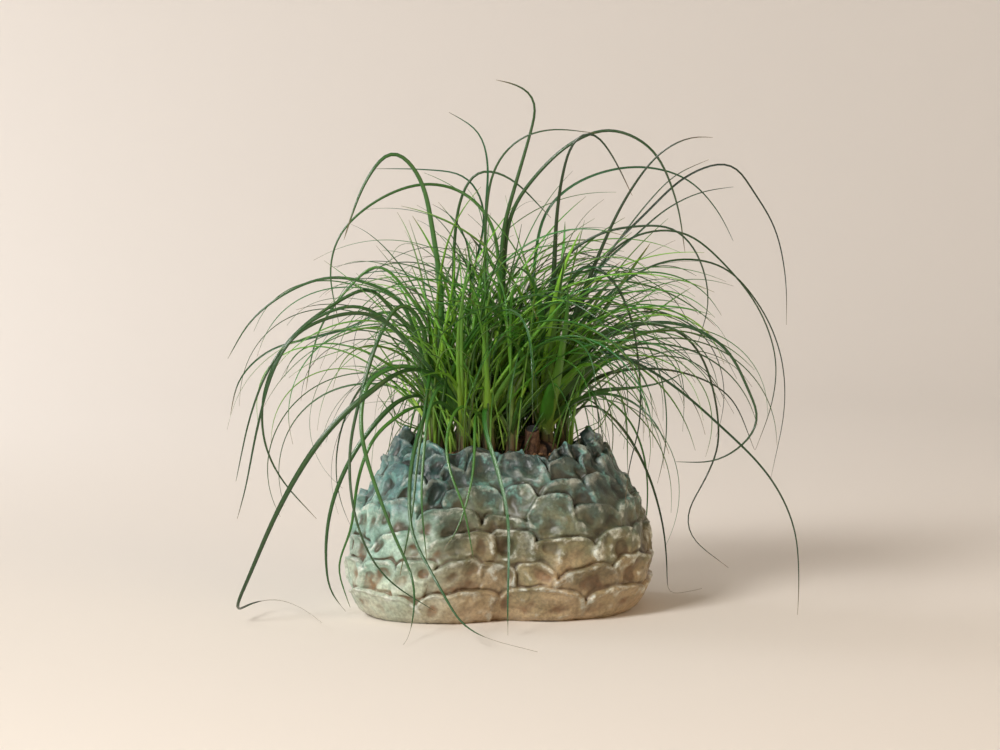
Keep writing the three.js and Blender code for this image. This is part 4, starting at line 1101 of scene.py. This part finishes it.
# %% Finding room for each leaf
CELL, SAMPLE, TRIALS = 14, 4, 49
DEPTH_SHIFTS = [0, 9, -9, 18, -18, 27, -27, 38, -38, 50, -50, 65, -65, 80, -80]
GOLDEN_ANGLE = math.radians(137.508)
taken = {}


def along_path(points):
    lengths = [0.0]
    for a, b in zip(points, points[1:]):
        lengths.append(lengths[-1] + math.dist(a, b))
    return lengths


def straight_stretches(path, count):
    """The path as a few straight stretches, with more of them where it bends more."""
    weights = [0.0]
    before = None
    for a, b in zip(path, path[1:]):
        step = [q - p for p, q in zip(a, b)]
        length = math.hypot(*step)
        weight = length / 150
        if before:
            cosine = sum(p * q for p, q in zip(step, before)) / (length * math.hypot(*before))
            weight += math.acos(clamp(cosine, -1, 1))
        before = step
        weights.append(weights[-1] + weight)
    picked, i = [], 1
    for j in range(count + 1):
        target = weights[-1] * j / count
        while i < len(path) - 1 and weights[i] < target:
            i += 1
        share = clamp((target - weights[i - 1]) / (weights[i] - weights[i - 1]), 0, 1)
        picked.append([p + share * (q - p) for p, q in zip(path[i - 1], path[i])])
    return picked


def samples_of(points, width, owner):
    lengths = along_path(points)
    samples = []
    for a, b, done, after in zip(points, points[1:], lengths, lengths[1:]):
        length = after - done
        count = max(1, math.floor(length / SAMPLE + 0.5))
        for j in range(count):
            share = (j + 0.5) / count
            along = done + length * share
            t = along / lengths[-1]
            reach = width * (1 - t) ** 0.55 * (1 - 0.55 * math.exp(-t / 0.08)) / 2
            samples.append(([p + share * (q - p) for p, q in zip(a, b)], reach, along, owner))
    return samples


def cell_of(point):
    return tuple(math.floor(c / CELL) for c in point)


def take_place(samples):
    for sample in samples:
        i, j, k = cell_of(sample[0])
        for a in (i - 1, i, i + 1):
            for b in (j - 1, j, j + 1):
                for c in (k - 1, k, k + 1):
                    taken.setdefault((a, b, c), []).append(sample)


def is_clear(samples, may_cross_siblings):
    for point, reach, along, owner in samples:
        if touches_pot(point, along):
            return False
        for other, other_reach, other_along, other_owner in taken.get(cell_of(point), ()):
            same = other_owner == owner
            if same and (may_cross_siblings or along < 40 or other_along < 40):
                continue
            gap = 0.7 * (reach + other_reach) if same else reach + other_reach + 0.8
            if math.dist(point, other) < gap:
                return False
    return True


def grow_leaves():
    """(centre line, width, rank from young to old, seed) of each leaf of each shoot."""
    grown = {name: [] for name in SHOOTS}
    for name, shoot in SHOOTS.items():
        heights = range(152, STEM_TOP + 6, 6)
        take_place([([shoot[0], shoot[1], z], stem_radius(shoot, z) + 1, 0, name) for z in heights])
    stub = [
        ([STUMP["x"], STUMP["y"] + (STUMP["top"] - z) * STUMP["lean"], z], STUMP["radius"], 0, "stump")
        for z in range(156, STUMP["top"] + 4, 5)
    ]
    take_place(stub)
    for number, (name, width, waypoints) in enumerate(LONG_LEAVES):
        for shift in DEPTH_SHIFTS:
            path = long_leaf_path(SHOOTS[name], waypoints, shift)
            samples = samples_of(straight_stretches(path, len(waypoints) + 1), width, name)
            if is_clear(samples, True):
                take_place(samples)
                grown[name].append((path, width, 1.0, number))
                break
    for shoot_number, (name, shoot) in enumerate(SHOOTS.items()):
        for i in range(shoot[3]):
            rank = (i + 0.5) / shoot[3]
            for trial in range(TRIALS):
                draw = random_stream(1 + shoot_number * 5000 + i * 50 + trial)
                path = leaf_path(shoot, rank, GOLDEN_ANGLE * i, draw, trial)
                width = 4 + 2 * draw()
                lowest = 110 + 130 * draw()
                samples = samples_of(straight_stretches(path, 4 if rank < 0.4 else 6), width, name)
                if is_in_crown(path, lowest) and is_clear(samples, False):
                    take_place(samples)
                    grown[name].append((path, width, rank, 100 + 100 * shoot_number + i))
                    break
    return grown


leaves = grow_leaves()
print("leaves as in the solids:", {name: len(found) for name, found in leaves.items()})

# %% [markdown]
# The heart of the plant is denser than solids can show: young leaves stand up in a tight brush,
# and finer ones arch over between the listed ones. They are drawn in the same way, only
# they may pass close to each other, as real ones do.

# %% Fine leaves that fill the heart
FIRST_FILLER = 5000                 # seeds from here on belong to the fine leaves
FILLERS = {"core": 6, "arc": 14, "low": 20, "fan": 12}
RIGHT_DROOP = 1.4                   # how much more the fine leaves bend at the right
FANS = {"front": 1.0, "right": 1.7, "left": 1.0, "front_left": 0.9}   # width of the fan's blades


def hides_planter(path):
    return any(p[1] < -55 and p[2] < 172 and abs(p[0]) < 150 for p in path)


def filler_habit(kind, draw):
    """Age, steepness, bend, length, width, height of the foot and distance from the stem."""
    if kind == "core":          # young leaves that stand in the middle of the shoot
        return (0.1 + 0.6 * draw(), 88 - 28 * draw(), 40 + 90 * draw(), 170 + 150 * draw(),
                2.6 + 2.4 * draw(), 215 - 30 * draw(), 1)
    if kind == "arc":           # full-grown ones that arch over in all directions
        return (0.35 + 0.6 * draw(), 84 - 44 * draw(), 60 + 100 * draw(), 250 + 210 * draw(),
                1.5 + 2.0 * draw(), 205 - 40 * draw(), 1)
    if kind == "fan":           # broad bright young blades, spread like a hand
        return (0.15 * draw(), 88 - 34 * draw(), 8 + 34 * draw(), 110 + 130 * draw(),
                4.5 + 2.5 * draw(), 176 + 12 * draw(), 1)
    return (0.3 + 0.7 * draw(), 89 - 32 * draw(), 10 + 110 * draw(), 60 + 160 * draw(),
            1.4 + 2.2 * draw(), 156 + 8 * draw(), 1 + 11 * draw())     # low ones, straight from the soil


def fill_in(name, shoot_number, kind, i):
    shoot = SHOOTS[name]
    first_seed = 90001 + shoot_number * 9000 + 3000 * list(FILLERS).index(kind) + i * 60
    for trial in range(12):
        draw = random_stream(first_seed + trial)
        azimuth = GOLDEN_ANGLE * i + math.radians(80 * (draw() - 0.5))
        if kind == "arc":                               # these cross over the middle
            azimuth = (math.pi if shoot[0] > 0 else 0) + math.radians(190 * (draw() - 0.5))
        sweep = math.radians(150 * (draw() - 0.5))
        late = 0.9 + 1.4 * draw()
        rank, steep, bend, length, width, height, beside = filler_habit(kind, draw)
        bend *= RIGHT_DROOP if shoot[0] > 25 and kind in ("arc", "low") else 1
        width *= FANS.get(name, 1) if kind == "fan" else 1
        offset = stem_radius(shoot, height) * (0.4 if beside == 1 else 1) + beside
        start = (
            shoot[0] + offset * math.cos(azimuth), shoot[1] + offset * math.sin(azimuth), height,
        )
        path = grow_path(start, azimuth, math.radians(steep), math.radians(bend), late, sweep, length)
        lowest = 120 + 130 * draw()
        fits = is_in_crown(path, lowest) and not hides_planter(path)
        if fits and not any(touches_pot(p, 20) for p in path[2:]):
            seed = FIRST_FILLER + 200 * shoot_number + 60 * list(FILLERS).index(kind) + i
            return path, width, rank, seed
    return None


for shoot_number, name in enumerate(SHOOTS):
    for kind, count in FILLERS.items():
        if kind == "fan" and name not in FANS:
            continue
        if kind == "low" and name in ("right", "front_right"):
            count //= 3                                 # the fan and the bark are seen from the front
        for i in range(count):
            found = fill_in(name, shoot_number, kind, i)
            if found:
                leaves[name].append(found)
print("leaves in all:", sum(len(found) for found in leaves.values()))

# %% [markdown]
# ## The blades
# A strap leaf is a shallow gutter: its edges stand up a little, and at its foot it is broad, pale
# and wraps round the stem. Eight points make its section, five on the upper face and
# three under it, so it is a thin closed body and no bare sheet. It twists slowly on its way.

# %% Blade sections along a centre line
SECTION = 8
PLAIN_BASE = (6.5, 45)              # width of a leaf's foot, and how far up it stays broad, in mm
BROAD_BASES = {"right": (14, 130), "far_right": (9, 70), "front": (8, 60), "left": (8, 70)}
STEP = 7            # mm between sections
# the long leaves beyond this x are also darkened, as painted shade
SLIM_AND_SHADED_BEYOND = 40                    # the long leaves of shoots with a larger x are slim and dark


def even_path(path, step):
    path = np.array(path)
    lengths = np.array(along_path(path.tolist()))
    count = max(8, int(lengths[-1] / step))
    marks = np.linspace(0, lengths[-1], count)
    points = np.stack([np.interp(marks, lengths, path[:, axis]) for axis in range(3)], -1)
    for _ in range(4):
        points[1:-1] = 0.25 * points[:-2] + 0.5 * points[1:-1] + 0.25 * points[2:]
    return points


def face_front(tangents, sides, normals):
    """The twist that turns a listed leaf's broad face to the front, where its width is seen."""
    broad = np.cross(tangents, [0.0, -1.0, 0.0])
    broad /= np.maximum(np.linalg.norm(broad, axis=1), 0.05)[:, None]
    turn = np.arctan2((broad * normals).sum(1), (broad * sides).sum(1))
    turn = (turn + math.pi / 2) % math.pi - math.pi / 2          # either face will do
    return 0.85 * np.unwrap(turn, period=math.pi)


def blade(path, width, rank, seed, shoot, base_shape):
    """The sections of one leaf and the numbers that its colour goes by."""
    rng = np.random.default_rng(seed)
    points = even_path(path, STEP)
    count = len(points)
    marks = np.array(along_path(points.tolist()))
    total = marks[-1]
    t = marks / total
    radial = points[:, :2] - [shoot[0], shoot[1]]
    distance = np.maximum(np.linalg.norm(radial, axis=1), 0.3)
    wanted = np.array([stem_radius(shoot, z) for z in points[:, 2]]) + 0.5
    push = np.where((marks < 45) & (distance < wanted), wanted / distance, 1)
    points[:, :2] = [shoot[0], shoot[1]] + radial * push[:, None]
    tangents = np.gradient(points, axis=0)
    tangents /= np.linalg.norm(tangents, axis=1)[:, None]

    way = points[-1] - points[0]
    side = (-way[1], way[0], 0.0)
    sides = []
    for tangent in tangents.tolist():
        dot = sum(a * b for a, b in zip(side, tangent))
        side = [a - dot * b for a, b in zip(side, tangent)]
        length = math.hypot(*side) or 1
        side = [a / length for a in side]
        sides.append(side)
    sides = np.array(sides)
    normals = np.cross(tangents, sides)
    listed = seed < len(LONG_LEAVES)
    # the long slim leaves at the right are also darkened, as painted shade
    slim_and_shaded = listed and shoot[0] > SLIM_AND_SHADED_BEYOND
    twist = math.radians(rng.uniform(-95, 95)) * t**1.3 + math.radians(rng.uniform(-12, 12)) * np.sin(5 * t)
    if listed:
        twist = 0.3 * twist + face_front(tangents, sides, normals) * smooth_step(0.05, 0.3, t)
    cosine, sine = np.cos(twist)[:, None], np.sin(twist)[:, None]
    sides, normals = sides * cosine + normals * sine, normals * cosine - sides * sine

    landed = np.flatnonzero((points[:, 2] < 12) & (t > 0.5))                # its tail on the ground
    blade_end = marks[landed[0]] if len(landed) else total
    lying = smooth_step(blade_end - 12, blade_end + 4, marks) * (blade_end < total)
    slender = 0.48 if listed else 0.6
    taper = 0.88 * (1 - np.minimum(marks / blade_end, 1)) ** slender + 0.12 * (1 - t) ** 0.4
    if listed:
        width *= 0.62 if slim_and_shaded else 0.92
    elif seed < FIRST_FILLER:
        width *= rng.uniform(0.5, 0.92)
    body = width * taper
    base, reach = base_shape
    rises = points[min(count - 1, int(60 / STEP)), 2] > points[0, 2] + 25
    flare = max(0.0, base * rng.uniform(0.75, 1.1) - width) * (points[0, 2] > 176 and rises)
    reach = min(reach * rng.uniform(0.7, 1.1), 0.4 * total)
    flare = flare * np.exp(-((marks / reach) ** 2))
    chord = np.maximum(body + flare, 0.35)
    chord *= np.clip(marks / 14 + 0.45, 0, 1)
    arc = np.radians(34 + 40 * np.exp(-marks / 32))
    radius = chord / 2 / np.sin(arc)
    thick = np.minimum(0.75, 0.22 * chord + 0.08)

    ring = []
    for u in (-1, -0.5, 0, 0.5, 1):
        ring.append((u, radius * np.sin(u * arc), radius * (1 - np.cos(u * arc)), 0))
    for u in (0.5, 0, -0.5):
        ring.append((u, radius * np.sin(u * arc), radius * (1 - np.cos(u * arc)) - thick, 1))
    verts = np.stack([
        points + sides * x[:, None] + normals * z[:, None] for _, x, z, _ in ring
    ], axis=1)
    dry_from = 1 - rng.uniform(0.01, 0.12)
    tint = rng.uniform(0, 1) * (0.6 if listed else 1)
    # each leaf's lightness: partly a tone of its own, partly painted light and shade
    light = rng.uniform(0.3, 1.5)
    if listed:
        light = rng.uniform(0.2, 0.55) if slim_and_shaded else rng.uniform(0.5, 1.05)
    numbers = {
        "along": np.repeat(marks[:, None] / 400, SECTION, 1),
        "across": np.tile([u for u, *_ in ring], (count, 1)),
        "under": np.tile([float(b) for *_, b in ring], (count, 1)),
        "age": np.full((count, SECTION), clamp(rank + rng.uniform(-0.25, 0.25), 0, 1)),
        "tint": np.full((count, SECTION), tint),
        "light": np.full((count, SECTION), light),
        "dry": np.repeat(np.maximum(0.7 * lying, smooth_step(dry_from, 1.03, t))[:, None], SECTION, 1),
    }
    return verts, numbers


# %% One mesh for all the leaves of a shoot
def leaf_mesh(name):
    shoot = SHOOTS[name]
    points, faces, numbers, start = [], [], {}, 0
    for path, width, rank, seed in leaves[name]:
        verts, found = blade(path, width, rank, seed, shoot, BROAD_BASES.get(name, PLAIN_BASE))
        count = len(verts)
        faces += closed_tube(count, SECTION, start, turned=True)
        points.append(verts.reshape(-1, 3))
        for label, value in found.items():
            numbers.setdefault(label, []).append(value.ravel())
        start += count * SECTION
    points = np.concatenate(points)
    points[:, 2] = np.maximum(points[:, 2], 0.4)
    return points, faces, {label: np.concatenate(value) for label, value in numbers.items()}


# %% [markdown]
# ## Living leaf
# A living strap leaf is a smooth waxy skin over wet green tissue, so it has an IOR near 1.45 and soft
# highlights that turn pale and bluish where the wax is seen at a low angle. Young leaves are bright
# yellow-green from a nearly white foot, old ones dark and a little blue, and the hair tips dry to straw.
# Fine parallel veins run the whole length, about 0.6 mm apart. Each leaf has a lightness of its own, partly
# a tone that differs at random and partly painted light and shade, and the long slim ones at the right are
# the darkest, as painted shade.

# %% Living leaf
def living_leaf():
    material, tree = new_material("living strap leaf")
    place = add_node(tree, "ShaderNodeTexCoord").outputs["Object"]
    number = {
        name: add_node(tree, "ShaderNodeAttribute", attribute_name=name).outputs["Fac"]
        for name in ("along", "across", "under", "age", "tint", "light", "dry")
    }
    blotches = add_node(tree, "ShaderNodeTexNoise", {
        "Vector": place, "Scale": 1000 / 60, "Detail": 2.0,
    }).outputs["Fac"]
    young, old = (
        add_node(tree, "ShaderNodeValToRGB", {0: number["along"]}, stops=stops).outputs[0]
        for stops in (
            [(0.0, "#75863A"), (0.07, "#94BC3A"), (0.2, "#70A82A"), (0.5, "#3E831B"), (1.0, "#265F20")],
            [(0.0, "#56682C"), (0.08, "#3D7A1E"), (0.25, "#1F6A16"), (0.6, "#11541A"), (1.0, "#0C3F24")],
        )
    )
    vein = add_node(tree, "ShaderNodeMath", {0: number["across"], 1: 32.0}, operation="MULTIPLY")
    vein = add_node(tree, "ShaderNodeMath", {0: vein.outputs[0]}, operation="SINE").outputs[0]
    share = {
        name: add_node(tree, "ShaderNodeMapRange", {
            0: value, 1: low, 2: high, 3: to_low, 4: to_high,
        }).outputs[0]
        for name, value, low, high, to_low, to_high in (
            ("drift", blotches, 0.3, 0.7, -0.15, 0.15),
            ("lime", number["tint"], 0.65, 1.0, 0.0, 0.6),
            ("blue", number["tint"], 0.35, 0.0, 0.0, 0.5),
            ("underside", number["under"], 0.0, 1.0, 0.0, 0.2),
            ("stripes", vein, -1.0, 1.0, 0.88, 1.1),
        )
    }
    age = add_node(tree, "ShaderNodeMath", {0: number["age"], 1: share["drift"]},
                   operation="ADD", use_clamp=True).outputs[0]
    # the veins times each leaf's lightness, which is partly painted light and shade
    veined_tone_and_shade = add_node(tree, "ShaderNodeMath", {0: share["stripes"], 1: number["light"]},
                         operation="MULTIPLY").outputs[0]
    stripes = add_node(tree, "ShaderNodeCombineColor", dict.fromkeys((0, 1, 2), veined_tone_and_shade))
    colour = young
    for factor, over, blend in (
        (age, old, "MIX"),
        (share["lime"], linear("#7FAE2C"), "MIX"),
        (share["blue"], linear("#17503C"), "MIX"),
        (share["underside"], linear("#6F9A48"), "MIX"),
        # veins and each leaf's lightness, partly painted light and shade
        (1.0, stripes.outputs[0], "MULTIPLY"),
        (number["dry"], linear("#7A5F3C"), "MIX"),
    ):
        colour = add_node(tree, "ShaderNodeMix", {
            MIX_FACTOR: factor, MIX_A: colour, MIX_B: over,
        }, data_type="RGBA", blend_type=blend).outputs[MIX_COLOUR]
    finish_material(tree, {
        "Base Color": colour, "Roughness": 0.3, "IOR": 1.45,
        "Coat Weight": 0.35, "Coat Roughness": 0.08,
    }, [(0.3, 0.0003, vein)])
    return material


# %% [markdown]
# ## The stems
# Below the leaves a short stem shows, papery brown at the soil, green and fleshy higher up. The broad bases
# of its leaves stand side by side round it as folds, with painted shade darkening the grooves between them,
# and the stubs of shed leaves are low scales near the soil.

# %% Stems
def stem_mesh(name):
    shoot = SHOOTS[name]
    rng = np.random.default_rng(sum(map(ord, name)))
    columns, rings = 54, 44
    angle = turns(columns)
    points, height_share, fold_mask = [], [], []
    for k in range(rings):
        share = k / (rings - 1)
        z = STEM_BOTTOM + (STEM_TOP - STEM_BOTTOM) * share
        turn = share * 26 + 0.25 * rng.uniform(-1, 1)
        scale = (np.cos(3 * angle + turn * 1.7) * 0.5 + 0.5) ** 2 * ((k % 4) / 3)
        folds = np.abs(np.cos(2.5 * angle + 3 * share)) ** 0.6        # the leaf bases, side by side
        radius = stem_radius(shoot, z) * (0.72 + 0.28 * folds) + 0.3 + 1.0 * scale * (1 - share)
        points.append(ring_at(angle, radius, radius, z, shoot[0], shoot[1]))
        height_share.append(share + 0 * angle)
        fold_mask.append(folds)
    masks = {"height": np.concatenate(height_share), "folds": np.concatenate(fold_mask)}
    return np.concatenate(points), closed_tube(rings, columns), masks


def sheathed_stem():
    material, tree = new_material("sheathed green stem")
    place = add_node(tree, "ShaderNodeTexCoord").outputs["Object"]
    height = add_node(tree, "ShaderNodeAttribute", attribute_name="height").outputs["Fac"]
    stretch = add_node(tree, "ShaderNodeMapping", {"Vector": place, "Scale": (1, 1, 0.2)})
    fibres = add_node(tree, "ShaderNodeTexNoise", {
        "Vector": stretch.outputs[0], "Scale": 1000 / 1.5, "Detail": 4.0,
    }).outputs["Fac"]
    folds = add_node(tree, "ShaderNodeAttribute", attribute_name="folds").outputs["Fac"]
    level = add_node(tree, "ShaderNodeMath", {
        0: fibres, 1: 0.35, 2: height,
    }, operation="MULTIPLY_ADD").outputs[0]
    colour = add_node(tree, "ShaderNodeValToRGB", {0: level}, stops=[
        (0.3, "#33261B"), (0.45, "#5A4A2E"), (0.62, "#56632E"), (0.85, "#5F8030"), (1.0, "#7A9C3C"),
    ]).outputs[0]
    # painted shade darkens the grooves between the folds
    groove_shade = add_node(tree, "ShaderNodeMapRange", {0: folds, 1: 0.2, 2: 0.8, 3: 0.8, 4: 0.0})
    colour = add_node(tree, "ShaderNodeMix", {
        MIX_FACTOR: groove_shade.outputs[0], MIX_A: colour, MIX_B: linear("#1C2412"),
    }, data_type="RGBA").outputs[MIX_COLOUR]
    finish_material(tree, {"Base Color": colour, "Roughness": 0.6, "IOR": 1.45},
                    [(0.6, 0.0006, fibres)])
    return material


# %% The shoots' pieces
leaf_material = living_leaf()
stem_material = sheathed_stem()
for name in SHOOTS:
    leaf_points, leaf_faces, leaf_numbers = leaf_mesh(name)
    make_piece(f"leaves_{name}", leaf_points, leaf_faces, leaf_material, f"shoot_{name}",
               leaf_numbers, crease=70)
    stem_points, stem_faces, stem_masks = stem_mesh(name)
    make_piece(f"stem_{name}", stem_points, stem_faces, stem_material, f"shoot_{name}",
               stem_masks, crease=60)

# %% [markdown]
# ## The studio
# The floor runs out flat and curves up into a round backdrop with no corner to see, so the plant
# stands in even cream from any side. A large soft light from the left front shapes the pads, a
# weak warm one from the right opens the shadows, and a third brightens the backdrop at the left.

# %% Floor and backdrop in one
def studio_bowl():
    floor, sweep = 2.2, 3.4                     # radius of the flat floor, and of the upward sweep
    profile = [(floor / 2, 0.0), (floor, 0.0)]
    for a in np.linspace(0.06, math.pi / 2, 24):
        profile.append((floor + sweep * math.sin(a), sweep - sweep * math.cos(a)))
    profile.append((floor + sweep, 6.5))
    columns = 96
    rings = [ring_at(turns(columns), radius, radius, z) for radius, z in profile]
    faces = tube_faces(len(rings), columns)[:, ::-1].tolist()
    faces.append(list(range(columns)))
    mesh = bpy.data.meshes.new("studio_bowl")
    mesh.from_pydata(np.concatenate(rings).tolist(), [], faces)
    mesh.shade_smooth()
    bowl = bpy.data.objects.new("studio_bowl", mesh)
    bpy.context.scene.collection.objects.link(bowl)
    material, tree = new_material("matte cream paper")
    finish_material(tree, {
        "Base Color": linear("#E4DDD4"), "Roughness": 0.95, "Specular IOR Level": 0.15,
    })
    mesh.materials.append(material)


studio_bowl()


# %% Lights
def soft_light(name, location, target, size, power, colour):
    data = bpy.data.lights.new(name, "AREA")
    data.shape = "RECTANGLE"
    data.size, data.size_y = size
    data.energy = power
    data.color = linear(colour)[:3]
    light = bpy.data.objects.new(name, data)
    light.location = location
    light.rotation_euler = (Vector(target) - Vector(location)).to_track_quat("-Z", "Y").to_euler()
    bpy.context.scene.collection.objects.link(light)


soft_light("key", (-2.0, -2.2, 2.0), (0, 0, 0.2), (1.0, 1.0), 118, "#FEFCFA")
soft_light("fill", (2.4, -2.2, 1.4), (0, 0, 0.2), (2.0, 2.0), 24, "#FFD8A6")
soft_light("backdrop", (-2.6, 1.2, 2.4), (-0.8, 4.5, 1.4), (1.6, 1.6), 98, "#F7F9FF")
world = bpy.data.worlds.new("studio light")
world.use_nodes = True
world.node_tree.nodes["Background"].inputs["Color"].default_value = linear("#F2EEE8")
world.node_tree.nodes["Background"].inputs["Strength"].default_value = 0.31
bpy.context.scene.world = world
